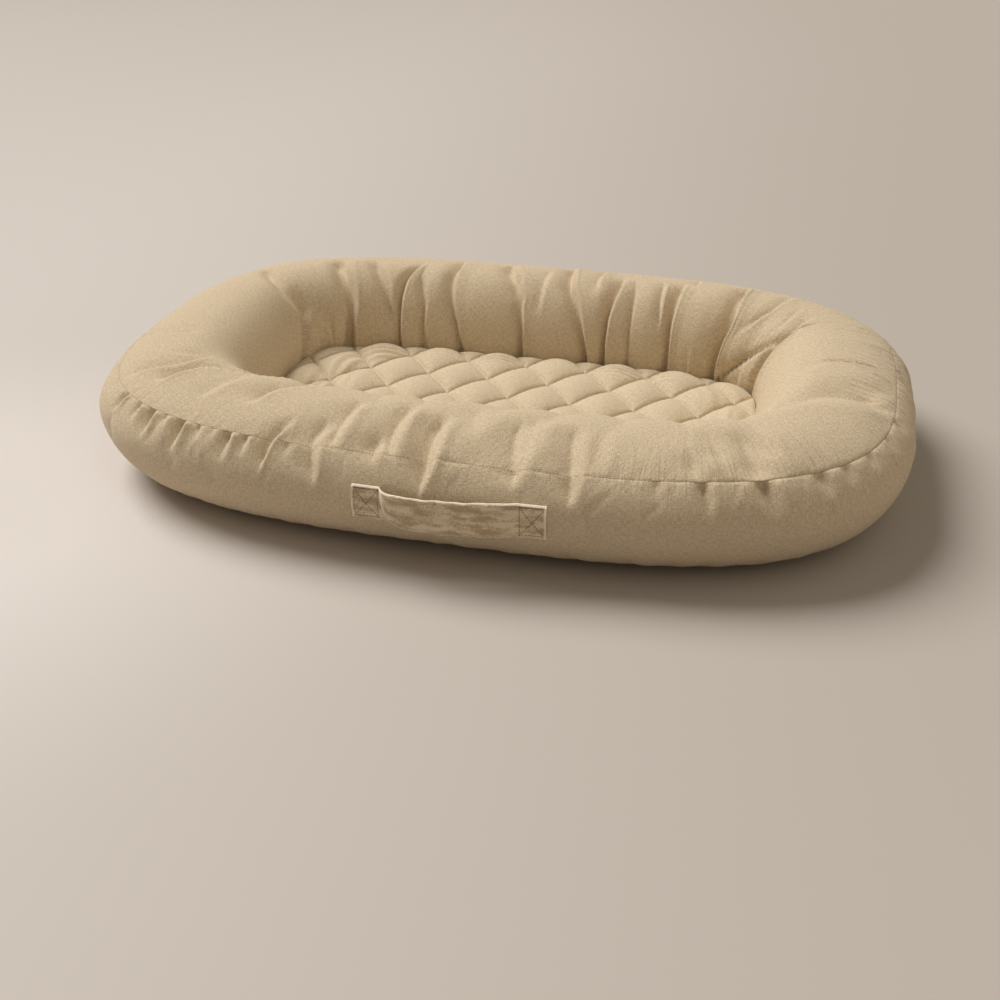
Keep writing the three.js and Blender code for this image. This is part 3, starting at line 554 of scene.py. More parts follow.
class RingRows:
    """Rows of shares and columns of marks, in millimetres, over which folds are laid."""

    def __init__(self, shares, marks):
        self.shares, self.marks = shares % 1, marks * 1000
        self.all_round = np.append(ring_shares(1600), 1)
        self.runs = [
            lengths_along(smooth_ring(self.all_round, np.full(1601, mark))) * 1000 for mark in marks]
        self.lift = np.zeros((len(shares), len(marks)))

    def run_to(self, column, shares):
        """How far along a column's loop shares lie."""
        return np.interp(shares, self.all_round, self.runs[column])

    def lay(self, columns, places, reach, height_at):
        """Adds heights to the rows near a line, which crosses each column at a share."""
        if not len(columns):
            return
        runs = np.array([self.run_to(column, place % 1) for column, place in zip(columns, places)])
        loops = np.array([self.runs[column][-1] for column in columns])
        slope = np.zeros(len(columns))
        if len(columns) > 2:
            steps = nearest_way(np.diff(runs), loops[1:])
            slope[1:-1] = (steps[1:] + steps[:-1]) / (self.marks[columns[2:]] - self.marks[columns[:-2]])
            slope[0], slope[-1] = slope[1], slope[-2]
        upright = 1 / np.sqrt(1 + slope ** 2)
        for i, column in enumerate(columns):
            away = nearest_way(self.run_to(column, self.shares) - runs[i], loops[i])
            near = np.nonzero(np.abs(away) * upright[i] < reach)[0]
            if len(near):
                self.lift[near, column] += height_at(i, away[near] * upright[i], self.shares[near])

    def lay_fold(self, width, depth, *way):
        way_marks, way_shares = unwound(way)
        columns = np.nonzero((self.marks > way_marks[0]) & (self.marks < way_marks[-1] + 1))[0]
        taper = ease((self.marks[columns] - way_marks[0]) / FOLD_TAPERS[0])
        if way_marks[-1] < WELL_MARK * 1000 - 3:
            taper = taper * ease((way_marks[-1] - self.marks[columns]) / FOLD_TAPERS[1])
        places = np.interp(self.marks[columns], way_marks, way_shares)
        self.lay(columns, places, width * 8, lambda i, offset, shares:
                 depth * taper[i] * crease(offset, width, lean_at(shares)))

    def lay_pucker(self, seam, side, place, lean, length, width, depth):
        """A short crease that starts at a seam and fades out."""
        from_seam = (self.marks - seam * 1000) * side
        columns = np.nonzero((from_seam >= 0) & (from_seam < length))[0]
        part = from_seam[columns] / length
        fade = np.minimum(1, part * length / 5 + 0.15) * (1 - part) ** 0.8
        widths = width * (0.42 + 0.4 * part)
        self.lay(columns, place + lean * part, width * 9, lambda i, offset, shares:
                 depth * fade[i] * crease(offset, widths[i], 0.6 * lean_at(shares)))

    def lay_swell(self, place, mark, along, across, height):
        columns = np.nonzero(np.abs(self.marks - mark) < 2.6 * across)[0]
        fall = np.exp(-((self.marks[columns] - mark) / across) ** 2)
        self.lay(columns, np.full(len(columns), place), 3 * along, lambda i, offset, shares:
                 height * fall[i] * np.exp(-(offset / along) ** 2))

    def lay_lobes(self, folds):
        """Rounds the cover out between the folds that run down into the well's seam."""
        lines = [np.interp(self.marks, *unwound(way)) for _, _, *way in folds if way[-1][0] > WELL_FOLD_END]
        for column in np.nonzero(self.marks > LOBES_START)[0]:
            loop = self.runs[column][-1]
            places = np.sort([self.run_to(column, line[column] % 1) for line in lines])
            places = np.concatenate([[places[-1] - loop], places, [places[0] + loop]])
            here = self.run_to(column, self.shares)
            after = np.searchsorted(places, here, side="right")
            spacing = places[after] - places[after - 1]
            part = (here - places[after - 1]) / np.maximum(spacing, 0.1)
            rise = np.minimum(LOBE_RISE, 0.12 * spacing) * ease((self.marks[column] - LOBES_START) / 70)
            self.lift[:, column] += rise * ((1 - np.abs(2 * part - 1) ** 2.4) - 0.6)


def scattered(seed, count, *spans):
    """Random values for things spread evenly round the ring: a place, and one value in each span."""
    chance = np.random.default_rng(seed)
    for i in range(count):
        yield ((i + chance.uniform(0.1, 0.9)) / count, *(chance.uniform(low, high) for low, high in spans))


def folds_of(shares, marks):
    """The long folds and soft swells, which the stuffing then rounds, in metres off the smooth ring."""
    rows = RingRows(shares, marks)
    for width, depth, *way in COVER_FOLDS:
        rows.lay_fold(width * 1.15, depth * 0.5, *way)
    rows.lay_lobes(COVER_FOLDS)
    for place, lean, length, width, depth in scattered(3, 14, (-.006, .006), (20, 44), (3, 5), (1.0, 2.4)):
        rows.lay_pucker(WELL_MARK, -1, place, lean, length, width, depth)
    low, high = LOWER_SEAM_MARK * 1000, WELL_MARK * 1000
    for place, mark, along, across, height in scattered(8, 420, (low, high), (9, 24), (20, 50), (-.7, .7)):
        rows.lay_swell(place, mark, along, across, height)
    # The seam's stitches hold it nearly level across the folds
    return rows.lift * (1 - 0.7 * np.exp(-np.abs(rows.marks) / 7)) / 1000


def puckers_of(shares, marks):
    """The sharp bottoms of the folds and the short puckers that the stitches draw in, in metres."""
    rows = RingRows(shares, marks)
    for width, depth, *way in COVER_FOLDS:
        rows.lay_fold(width * 0.62, depth, *way)
    for place, lean, length, width, depth in SEAM_PUCKERS:
        rows.lay_pucker(0, -1, place, lean, length * 1.3, width * 0.85, depth * 2.4)
    for place, lean, length, width, depth in scattered(4, 74, (-.004, .004), (9, 28), (2.4, 3.6), (.8, 3)):
        if place < 0.55:
            rows.lay_pucker(0, -1, place, lean, length, width, depth)
    for place, lean, length, width, depth in scattered(5, 96, (-.004, .004), (8, 24), (2.6, 4), (.2, .8)):
        rows.lay_pucker(0, 1, place, lean, length, width, depth)
    for place, lean, length, width, depth in scattered(6, 84, (-.004, .004), (8, 22), (2.6, 4), (.5, 2)):
        rows.lay_pucker(LOWER_SEAM_MARK, 1, place, lean, length, width, depth)
        rows.lay_pucker(LOWER_SEAM_MARK, -1, place, -lean, length, width, depth)
    return rows.lift / 1000


# The sewn cover is settled over its stuffing by cloth simulation: it starts folded, a little too large,
# and held along its three seams, and the stuffing's pressure rounds it out between them.
SETTLE_SHARES = ring_shares(640)
SETTLE_MARKS = np.concatenate([np.linspace(LOWER_SEAM_MARK, 0, 29), np.linspace(0, WELL_MARK, 51)[1:]])
SEWN_ROWS = 0, 28, 78
CLOTH_EXCESS = 0.002
SETTLING_STEPS = 20
# The share of the cloth's broad drift that is taken out again, and over how many stations it is measured. Then
# how far the cloth may end up inwards, outwards and sideways.
BROAD_SHARE, BROAD_STATIONS = 0.95, 17
MOST_IN, MOST_OUT, MOST_SIDEWAYS = 0.0036, 0.005, 0.003


def simulated(start):
    """Where cloth over rows of points comes to rest, with its seams held and the stuffing pressing on it."""
    cloth = grid_piece("cloth", start, True)
    sewn = cloth.vertex_groups.new(name="sewn")
    index = grid_index(start.shape)
    sewn.add(index[:, list(SEWN_ROWS)].ravel().tolist(), 1, "REPLACE")
    settling = cloth.modifiers.new("settling", "CLOTH")
    for setting, value in {
        "quality": 5, "mass": 0.15, "vertex_group_mass": "sewn", "shrink_min": -CLOTH_EXCESS,
        "tension_stiffness": 20, "compression_stiffness": 20, "shear_stiffness": 4, "bending_stiffness": 0.6,
        "tension_damping": 8, "compression_damping": 8, "use_pressure": True, "uniform_pressure_force": 4,
    }.items():
        setattr(settling.settings, setting, value)
    settling.settings.effector_weights.gravity = 0
    settling.collision_settings.use_collision = False
    for step in range(1, SETTLING_STEPS + 1):
        scene.frame_set(step)
    settled = cloth.evaluated_get(bpy.context.evaluated_depsgraph_get())
    found = np.empty(index.size * 3)
    settled.to_mesh().vertices.foreach_get("co", found)
    scene.frame_set(1)
    bpy.data.objects.remove(cloth, do_unlink=True)
    return found.reshape(*index.shape, 3)


def settled_cover():
    """How far simulated cloth lies off the smooth ring, as vectors over the settling rows."""
    share_rows, mark_rows = np.meshgrid(SETTLE_SHARES, SETTLE_MARKS, indexing="ij")
    smooth = smooth_ring(share_rows, mark_rows)
    facing = ring_facing(share_rows, mark_rows)
    start = smooth + facing * folds_of(SETTLE_SHARES, SETTLE_MARKS)[..., None]
    off = simulated(start) - smooth
    # The stuffing keeps the ring's own form, so what the cloth does over long stretches is mostly left out
    kernel = np.zeros(len(SETTLE_SHARES))
    kernel[:BROAD_STATIONS + 1] = kernel[-BROAD_STATIONS:] = 1 / (2 * BROAD_STATIONS + 1)
    broad = np.fft.ifft(np.fft.fft(off, axis=0) * np.fft.fft(kernel)[:, None, None], axis=0).real
    off = off - BROAD_SHARE * broad
    outward = (off * facing).sum(-1)
    sideways = off - facing * outward[..., None]
    outward = np.where(
        outward < 0, -MOST_IN * np.tanh(-outward / MOST_IN), MOST_OUT * np.tanh(outward / MOST_OUT))
    reach = np.linalg.norm(sideways, axis=-1, keepdims=True)
    sideways *= np.minimum(1, MOST_SIDEWAYS / np.maximum(reach, 1e-9))
    return facing * outward[..., None] + sideways


cover_offset = settled_cover()


def between_rows(field, axis_places, wraps):
    """Values of a field's first axis at fractional places, on smooth curves through its rows."""
    count = len(field)
    base = np.floor(axis_places).astype(int)
    t = (axis_places - base).reshape(-1, *([1] * (field.ndim - 1)))
    weights = (-t / 2 + t ** 2 - t ** 3 / 2, 1 - 2.5 * t ** 2 + 1.5 * t ** 3,
               t / 2 + 2 * t ** 2 - 1.5 * t ** 3, -t ** 2 / 2 + t ** 3 / 2)
    total = 0
    for step, weight in zip((-1, 0, 1, 2), weights):
        row = base + step
        total = total + weight * field[row % count if wraps else np.clip(row, 0, count - 1)]
    return total


def cover_offset_at(shares, marks):
    """The settled cloth's offsets on a finer grid."""
    settle_places = np.interp(shares % 1, np.append(SETTLE_SHARES, 1), np.arange(len(SETTLE_SHARES) + 1))
    rows = between_rows(cover_offset, settle_places, True)
    places = np.interp(marks, SETTLE_MARKS, np.arange(len(SETTLE_MARKS)))
    return between_rows(rows.swapaxes(0, 1), places, False).swapaxes(0, 1)


SEAM_DIP, SEAM_DIP_REACH = 0.00035, 0.0011
# The seams dip more round this share of the outline, as far as this to each side of it
TIGHT_SHARE, TIGHT_REACH = 0.9, 0.11
DEEPEST_CREASE = 0.0088
# The cover is pressed flat under the handle: how far past its ends, and its middle mark and half height
PRESSED_PAST, PRESSED_MARK, PRESSED_REACH = 0.006, -0.035, 0.022
# Where the bolster rests on the ground the cover lies flat, and its folds come back over this height
GROUND_CONTACT, GROUND_FADE = 0.001, 0.012


def folded_ring(shares, marks, depth=0.0, with_lift=False):
    """The folded cover's surface, or a layer a depth under it, for a row of shares and a row of marks."""
    share_grid, mark_grid = np.meshgrid(shares, marks, indexing="ij")
    facing = ring_facing(share_grid, mark_grid)
    signed = np.where(marks > WELL_MARK + 0.02, marks - SECTION_LENGTH, marks)
    lift = puckers_of(shares, signed)
    tight = 1 + 2.2 * ease(1 - np.abs(shares % 1 - TIGHT_SHARE) / TIGHT_REACH)[:, None]
    for seam in (0, LOWER_SEAM_MARK):
        lift -= SEAM_DIP * tight * np.exp(-np.abs(signed - seam) / SEAM_DIP_REACH)[None, :]
    offset = cover_offset_at(shares, signed)
    outward = (offset * facing).sum(-1)
    handle_away = nearest_way(share_grid - sum(HANDLE_SHARES) / 2, 1)
    inside_handle = np.ptp(HANDLE_SHARES) / 2 + PRESSED_PAST - np.abs(handle_away)
    under_handle = np.clip(inside_handle / PRESSED_PAST, 0, 1)
    under_handle *= np.exp(-(((signed - PRESSED_MARK) / PRESSED_REACH) ** 4))[None, :]
    offset -= facing * (np.maximum(outward, 0) * under_handle)[..., None]
    lift = np.where(lift > 0, lift * (1 - under_handle), lift * (1 - 0.7 * under_handle))
    # No crease is deeper than the casing under the cover lets it be
    outward = (offset * facing).sum(-1)
    total = outward + lift
    knee = 0.6 * DEEPEST_CREASE
    past = np.maximum(-total - knee, 0)
    give = DEEPEST_CREASE - knee
    limited = np.maximum(total, -knee) - give * np.tanh(past / give)
    offset += facing * (limited - outward - depth)[..., None]
    smooth = smooth_ring(share_grid, mark_grid)
    off_ground = np.clip((smooth[..., 2] - GROUND_CONTACT) / GROUND_FADE, 0, 1)[..., None]
    points = smooth + offset * off_ground
    return (points, limited, facing) if with_lift else points


def panel_walls(outer, inner, row_picks, column_picks, joins_up):
    """The narrow faces at a panel's edges, from its outer points to its fewer inner ones."""
    rows = len(outer)
    walls = []
    run_ends = np.append(row_picks[1:], rows) if joins_up else row_picks[1:]
    for k, (start, end) in enumerate(zip(row_picks, run_ends)):
        run, after = np.arange(start, end + 1) % rows, (k + 1) % len(row_picks)
        walls.append([inner[k, 0], inner[after, 0], *outer[run[::-1], 0]])
        walls.append([*outer[run, -1], inner[after, -1], inner[k, -1]])
    if not joins_up:
        for k, (start, end) in enumerate(zip(column_picks, column_picks[1:])):
            run = np.arange(start, end + 1)
            walls.append([*outer[0, run], inner[0, k + 1], inner[0, k]])
            walls.append([inner[-1, k], inner[-1, k + 1], *outer[-1, run[::-1]]])
    return [[int(corner) for corner in wall] for wall in walls]


def cloth_panel(name, shares, marks, joins_up, cut):
    """A closed panel of cloth. Its inner face is coarser, and passes under the bottoms of the folds."""
    points, lift, facing = folded_ring(shares, marks, 0.0, True)
    rows, columns = lift.shape
    row_picks = np.arange(0, rows, 4)
    if not joins_up:
        row_picks = np.unique(np.append(np.arange(0, rows - 2, 4), rows - 1))
    column_picks = np.unique(np.append(np.arange(0, columns - 2, 3), columns - 1))
    lowest = lift
    for step in (1, 2, 1):
        lowest = np.minimum(lowest, np.minimum(np.roll(lowest, step, 0), np.roll(lowest, -step, 0)))
    for _ in range(3):
        padded = np.pad(lowest, ((0, 0), (1, 1)), mode="edge")
        lowest = np.minimum(lowest, np.minimum(padded[:, :-2], padded[:, 2:]))
    picked = np.ix_(row_picks, column_picks)
    inner = points[picked] - facing[picked] * (lift - lowest + COVER_THICKNESS)[picked][..., None]
    outer_index = grid_index(lift.shape)
    inner_index = rows * columns + grid_index(inner.shape)
    faces = quads_over(outer_index, joins_up).tolist()
    faces += quads_over(inner_index, joins_up)[:, ::-1].tolist()
    made = bpy.data.meshes.new(name)
    walls = panel_walls(outer_index, inner_index, row_picks, column_picks, joins_up)
    made.from_pydata(
        np.concatenate([points.reshape(-1, 3), inner.reshape(-1, 3)]).tolist(), [], faces + walls)
    made.shade_smooth()
    corners = np.empty(len(made.loops), int)
    edges = np.empty(len(made.loops), int)
    made.loops.foreach_get("vertex_index", corners)
    made.loops.foreach_get("edge_index", edges)
    first_wall_corner = made.polygons[len(faces)].loop_start
    sharp = np.zeros(len(made.edges), bool)
    sharp[edges[first_wall_corner:]] = True
    made.attributes.new("sharp_edge", "BOOLEAN", "EDGE").data.foreach_set("value", sharp)
    map_cut(made, np.concatenate([cut.reshape(-1, 2), cut[picked].reshape(-1, 2)])[corners])
    # Where each point lies round the ring and from the upper seam, for the small gathers in the finish
    turn = 2 * math.pi * shares
    radius = OUTLINE_LENGTH / (2 * math.pi)
    around = np.stack(np.broadcast_arrays(
        radius * np.cos(turn)[:, None], radius * np.sin(turn)[:, None], np.asarray(marks)[None, :]), -1)
    around = np.concatenate([around.reshape(-1, 3), around[picked].reshape(-1, 3)])
    made.attributes.new("around", "FLOAT_VECTOR", "POINT").data.foreach_set(
        "vector", around.astype(np.float32).ravel())
    return placed(name, made)


def linen(name, colour, shade, streaks, mottle=0.2, rims=None, gathers=0):
    """Plain-weave washed linen: uneven threads both ways, and a soft fuzz."""
    material, shader, place = finish(
        name, 0.92, Sheen_Weight=0.12, Sheen_Roughness=0.5, Specular_IOR_Level=0.15)
    cut = place.node("ShaderNodeUVMap", {"uv_map": "cut"}, {})
    wander = cut.noise(45, 2, 1)
    bent = place.node("ShaderNodeVectorMath", {"operation": "SCALE"}, {0: wander, "Scale": 0.0012})
    cloth = place.node("ShaderNodeVectorMath", {"operation": "ADD"}, {0: cut, 1: bent})
    turn = 2 * math.pi / THREAD_PITCH
    weave = (cloth.axis(0) * turn).sine() * (cloth.axis(1) * turn).sine()
    weft = cloth.stretched((260, 1250, 1)).noise(1, 2)
    warp = cloth.stretched((1250, 260, 1), (7, 3, 0)).noise(1, 2)
    patches = cloth.stretched((38, 150, 1), (3, 1, 0)).noise(1, 2) if rims else place.noise(55, 3)
    fuzz = place.noise(620, 2)
    grain = (weft + warp - 1) * streaks + (fuzz - 0.5) * 0.45 + weave * 0.05 + (patches - 0.5) * mottle + 0.5
    tone = grain.colour(shade, colour)
    if rims:
        # On the strap, a painted highlight pales the rims, the ends and the lip towards the rims' colour
        pressed = place.node("ShaderNodeAttribute", {"attribute_name": "pressed"}, {}, 2)
        tone = pressed.colour(tone, rims)
    height = weave * 0.1 + (weft + warp) * 1.5 + fuzz * 0.5
    if gathers:
        sewn = place.node("ShaderNodeAttribute", {"attribute_name": "around"}, {}, 1)
        ripple = sewn.stretched((120, 120, 13)).noise(1, 2)
        near_seam = sewn.axis(2).absolute().fading(0, 0.07, gathers, gathers * 0.2)
        toward_right = place.math("MAXIMUM", sewn.axis(0), 0)
        at_right_end = toward_right * toward_right * 16 + 0.3
        height = height + (ripple - 0.5).absolute() * near_seam * at_right_end
    tone.feeds(shader, "Base Color")
    height.bump(0.7, 0.0006).feeds(shader, "Normal")
    return material


cover_linen = linen("cover_linen", srgb(221, 203, 174), srgb(199, 178, 146), 3.2, gathers=8)

SEAM_HALF_GAP = 0.00005
WELL_SEAM_ALLOWANCE = 0.008
top_marks = evenly(SEAM_HALF_GAP, WELL_MARK + WELL_SEAM_ALLOWANCE, 0.0044, (SEAM_HALF_GAP,))
top_shares = ring_shares(STATIONS)
seam_plan = smooth_ring(top_shares, np.zeros(STATIONS))[:, :2]
inwards = smooth_ring(top_shares, np.full(STATIONS, CROWN_MARK))[:, :2] - seam_plan
inwards /= np.linalg.norm(inwards, axis=1, keepdims=True)
top_cut = seam_plan[:, None] + inwards[:, None] * top_marks[None, :, None]
top_panel = cloth_panel("top_cover", top_shares, top_marks, True, top_cut)
top_panel.data.materials.append(cover_linen)
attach(top_panel, "lounger")
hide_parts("top_panel")

# Cover's side strips
# Two strips of the same linen round the outside, between the upper and the lower seam. The front one
# carries the handle, and they are joined at the two rear corners.

SIDE_JOINTS = 0.11, 0.39
side_marks = evenly(LOWER_SEAM_MARK + SEAM_HALF_GAP, -SEAM_HALF_GAP, 0.0036,
                    (LOWER_SEAM_MARK + SEAM_HALF_GAP, -SEAM_HALF_GAP))
for name, start, end, node in [
    ("side_cover_rear", SIDE_JOINTS[0], SIDE_JOINTS[1], "side_panel_rear"),
    ("side_cover_front", SIDE_JOINTS[1], SIDE_JOINTS[0] + 1, "side_panel_front"),
]:
    joint_gap = SEAM_HALF_GAP / OUTLINE_LENGTH
    rows = ring_shares(2800)
    rows = np.concatenate([rows, rows + 1])
    shares = np.unique(np.concatenate([[start + joint_gap, end - joint_gap],
                                       rows[(rows > start + 0.0005) & (rows < end - 0.0005)]]))
    length = (end - start) * OUTLINE_LENGTH
    strip_cut = np.stack(np.meshgrid(shares * OUTLINE_LENGTH, side_marks, indexing="ij"), -1)
    strip = cloth_panel(name, shares % 1, side_marks, False, strip_cut)
    strip.data.materials.append(cover_linen)
    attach(strip, "lounger")
    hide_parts(node)

# Quilted floor
# Three layers stitched through along two crossing sets of lines, so that the top one puffs up between them
# in diamonds. It is cut to the well's outline and sewn to the foot of the bolster's inner wall.

DIAMOND_LENGTH, DIAMOND_WIDTH = 0.0607, 0.0764
QUILT_SHIFT = -0.0025, 0.0106
QUILT_LINE_HEIGHT = WELL_SEAM_HEIGHT - 0.0015
QUILT_PUFF, QUILT_PUFF_FULLNESS = 0.0088, 0.52
QUILT_LINE_DIP, QUILT_LINE_DIP_REACH = 0.0026, 0.014
QUILT_CREASE_HEIGHT = 0.0008
QUILT_EDGE_PINCH = 0.009
WELL_REACH = 0.11
# The wrinkles along the sewn edge: how far in they lie and reach, their wavelength and their height
WRINKLE_INSET, WRINKLE_REACH, WRINKLE_WAVE, WRINKLE_HEIGHT = 0.020, 0.012, 0.0062, 0.0013
QUILT_STEPS = 34
QUILT_REACH = 12
quilt_linen = linen("quilt_linen", srgb(224, 207, 178), srgb(203, 184, 153), 2.6)


def well_radius(x, y, inset=0.0):
    """How far out a place in the well lies, from 0 in its middle to 1 at an inset from its edge."""
    power = WELL_SQUARENESS
    return (np.abs(x / (HALF_LENGTH - BOLSTER_WIDTH - inset)) ** power
            + np.abs(y / (HALF_WIDTH - BOLSTER_WIDTH - inset)) ** power) ** (1 / power)


def quilt_plan(first, second):
    x = QUILT_SHIFT[0] + DIAMOND_LENGTH * (first + second) / 2
    y = QUILT_SHIFT[1] + DIAMOND_WIDTH * (second - first) / 2
    return x, y


def quilt_height(first, second, x, y):
    """How high the puffed fabric stands above its stitch lines."""
    across_first, across_second = first - np.floor(first), second - np.floor(second)
    dome = (np.sin(math.pi * across_first) * np.sin(math.pi * across_second)) ** QUILT_PUFF_FULLNESS
    to_edge = (1 - well_radius(x, y)) * WELL_REACH
    pinch = np.sqrt(np.clip(to_edge / QUILT_EDGE_PINCH, 0, 1))
    # Each line of stitches draws small creases in beside it, and the sewn edge draws longer ones along it
    chance = np.random.default_rng(5)
    pucker = np.zeros_like(x)
    for line, run in ((across_first, second), (across_second, first)):
        near = np.exp(-np.minimum(line, 1 - line) / 0.12)
        for _ in range(5):
            pucker += near * np.sin(2 * math.pi * chance.uniform(3.5, 9) * run + chance.uniform(0, 6)) * 0.22
    uneven = np.sin(31 * x + 17 * y + 1.0) * 0.0012 + np.sin(71 * x - 43 * y) * 0.0009
    near_edge = np.exp(-((to_edge - WRINKLE_INSET) / WRINKLE_REACH) ** 2)
    along_edge = near_edge * np.sin((to_edge + uneven) * 2 * math.pi / WRINKLE_WAVE)
    creased = QUILT_CREASE_HEIGHT * pucker + WRINKLE_HEIGHT * along_edge * (0.6 + 0.4 * np.sin(47 * x + 3))
    to_line = np.minimum(np.minimum(across_first, 1 - across_first),
                         np.minimum(across_second, 1 - across_second))
    lines = np.exp(-to_line / QUILT_LINE_DIP_REACH)
    return (QUILT_PUFF * dome + creased * dome ** 0.4) * pinch - QUILT_LINE_DIP * lines * pinch


# Steps along both sets of lines make one grid, and what lies past the well's edge is drawn in onto it
quilt_run = np.arange(-QUILT_REACH * QUILT_STEPS, QUILT_REACH * QUILT_STEPS + 1) / QUILT_STEPS
first, second = np.meshgrid(quilt_run, quilt_run, indexing="ij")
x, y = quilt_plan(first, second)
radius = well_radius(x, y)
shrink = np.where(radius > 1, 1 / np.maximum(radius, 1e-9), 1)
x_in, y_in = x * shrink, y * shrink
z = QUILT_LINE_HEIGHT + quilt_height(first, second, x_in, y_in)
quads = quads_over(grid_index(x.shape))
quads = quads[(radius.ravel()[quads] < 1).any(1)]
used, quads = np.unique(quads, return_inverse=True)
points = np.stack([x_in, y_in, z], -1).reshape(-1, 3)[used]
quilt = mesh_piece("quilt_floor", points, quads.reshape(-1, 4), points[:, :2])
quilt.data.materials.append(quilt_linen)
thickened(quilt, COVER_THICKNESS)
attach(quilt, "lounger")
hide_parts("quilt_top")

# Quilt's batting, backing and base pad
# Thin fibre batting fills the puffs, a plain cotton backing closes the quilt, and a firmer fibre pad lies
# loose below it on the closed underside.

# The pads narrow from the well's edge to a line along the middle, over this width and this half length
PAD_REACH, PAD_MIDDLE = 0.109, 0.121
# Each layer's top, its bottom and the radius of its edge
BATTING, BACKING, BASE_PAD = (0.0340, 0.0312, 0.0012), (0.0309, 0.0299, 0.0003), (0.0296, 0.0135, 0.004)


def slab(name, top, bottom, edge, finish_material):
    """A closed pad with the well's outline, flat on both faces and rounded at its edge."""
    steps = np.linspace(0, 1, 14) ** 0.7
    ring = ring_shares(180)
    corner = np.linspace(0, math.pi / 2, 5)
    insets = np.concatenate([(1 - steps) * PAD_REACH + edge, edge * (1 - np.sin(corner[1:]))])
    heights = np.concatenate([np.full(len(steps), top), top - edge * (1 - np.cos(corner[1:]))])
    insets = np.concatenate([insets, insets[::-1]])
    heights = np.concatenate([heights, bottom + (top - heights[::-1])])
    well = plan_of(ring, np.full(len(ring), BOLSTER_WIDTH + SEAM_HALF_GAP))
    centres = np.zeros_like(well)
    centres[:, 0] = np.clip(well[:, 0], -PAD_MIDDLE, PAD_MIDDLE)
    part = (insets / PAD_REACH)[None, :, None]
    plan = well[:, None] * (1 - part) + centres[:, None] * part
    points = np.concatenate([plan, np.broadcast_to(heights[None, :, None], plan.shape[:2] + (1,))], -1)
    pad = merged(grid_piece(name, points[:, ::-1], True), 1e-5, closed=True)
    pad.data.materials.append(finish_material)
    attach(pad, "lounger")
    return pad


batting = slab("quilt_batting_pad", *BATTING, fibre_finish)
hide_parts("quilt_batting")

backing = slab("quilt_backing_cotton", *BACKING, lining_cotton)
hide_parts("quilt_backing")

base_fibre_pad = slab("base_fibre_pad", *BASE_PAD, fibre_finish)
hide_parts("base_pad")

# Underside of the cover
# Two halves of the same linen close the cover below. They meet on the middle line, where their folded edges
# leave a slot for the zip, and rise from the bolster's foot to a shallow recess.

RECESS_HEIGHT, RECESS_SHARE = 0.009, 0.85
ZIP_SLOT = 0.1756, 0.005
foot_marks = evenly(FOOT_MARKS[0] - SECTION_LENGTH, LOWER_SEAM_MARK - SEAM_HALF_GAP, 0.0045,
                    (LOWER_SEAM_MARK - SEAM_HALF_GAP,))
for name, side, shares, node in [
    ("underside_rear", 1, np.linspace(0, 0.5, 361), "bottom_panel_rear"),
    ("underside_front", -1, np.linspace(0.5, 1, 361), "bottom_panel_front"),
]:
    foot = folded_ring(shares, foot_marks)
    edge_of_foot = plan_of(shares, np.full(len(shares), FOOT_INSETS[1]))
    recess = plan_of(shares, np.full(len(shares), BOLSTER_WIDTH)) * RECESS_SHARE
    slot = np.where(np.abs(recess[:, 0]) < ZIP_SLOT[0], ZIP_SLOT[1], SEAM_HALF_GAP)
    middle = np.stack([recess[:, 0], side * slot], -1)
    rise = np.linspace(0, 1, 15)[None, :, None]
    slope = recess[:, None] * (1 - rise) + edge_of_foot[:, None] * rise
    climb = RECESS_HEIGHT * (1 - ease(rise))
    slope = np.concatenate([slope, np.broadcast_to(climb, slope.shape[:2] + (1,))], -1)
    inner = np.linspace(0, 1, 15)[None, :-1, None]
    flat = middle[:, None] * (1 - inner) + recess[:, None] * inner
    flat = np.concatenate([flat, np.full(flat.shape[:2] + (1,), RECESS_HEIGHT)], -1)
    rows = np.concatenate([flat, slope, foot[:, 1:]], 1)
    rows[..., 1] = side * np.maximum(side * rows[..., 1], SEAM_HALF_GAP)
    underside = merged(grid_piece(name, rows, False, rows[..., :2]), 1e-5)
    thickened(underside, COVER_THICKNESS)
    underside.data.materials.append(cover_linen)
    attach(underside, "lounger")
    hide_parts(node)

# Zip
# A nylon coil zip closes the slot. Each coil is one thread wound into a flat helix and sewn to a woven tape,
# nickel-plated stops end the chain, and the slider's pull lies flat along it.

ZIP_LENGTH = 0.340
ZIP_TAPE_WIDTH, ZIP_TAPE_OVERHANG, ZIP_TAPE_UNDERSIDE, ZIP_TAPE_THICKNESS = 0.015, 0.014, 0.01055, 0.00055
COIL_SPACING, COIL_WIDTH, COIL_HEIGHT, COIL_UNDERSIDE = 0.0016, 0.0024, 0.0015, 0.0087
COIL_PITCH, COIL_THREAD = 0.00125, 0.00054


def dyed_nylon(name, roughness, dark, light, rib=None):
    """Nylon in the linen's colour, smooth as in the coils or ribbed as a woven tape."""
    material, shader, place = finish(name, roughness, Specular_IOR_Level=0.4)
    shade = place.noise(380, 3)
    if rib:
        ribs = place.node("ShaderNodeTexWave", {"bands_direction": "DIAGONAL"}, {
            "Vector": place, "Scale": 0.314 / rib, "Distortion": 0.6, "Detail": 1})
        shade = shade * 0.5 + ribs * 0.5
        shade.bump(0.7, 0.00025).feeds(shader, "Normal")
    shade.colour(dark, light).feeds(shader, "Base Color")
    return material


def satin_nickel():
    material, shader, place = finish("satin_nickel", 0.34, Metallic=1.0)
    scratches = place.stretched((300, 2600, 2600)).noise(1, 3)
    scratches.colour(srgb(170, 161, 146), srgb(200, 191, 176)).feeds(shader, "Base Color")
    (scratches * 0.16 + 0.26).feeds(shader, "Roughness")
    scratches.bump(0.3, 0.00006).feeds(shader, "Normal")
    return material


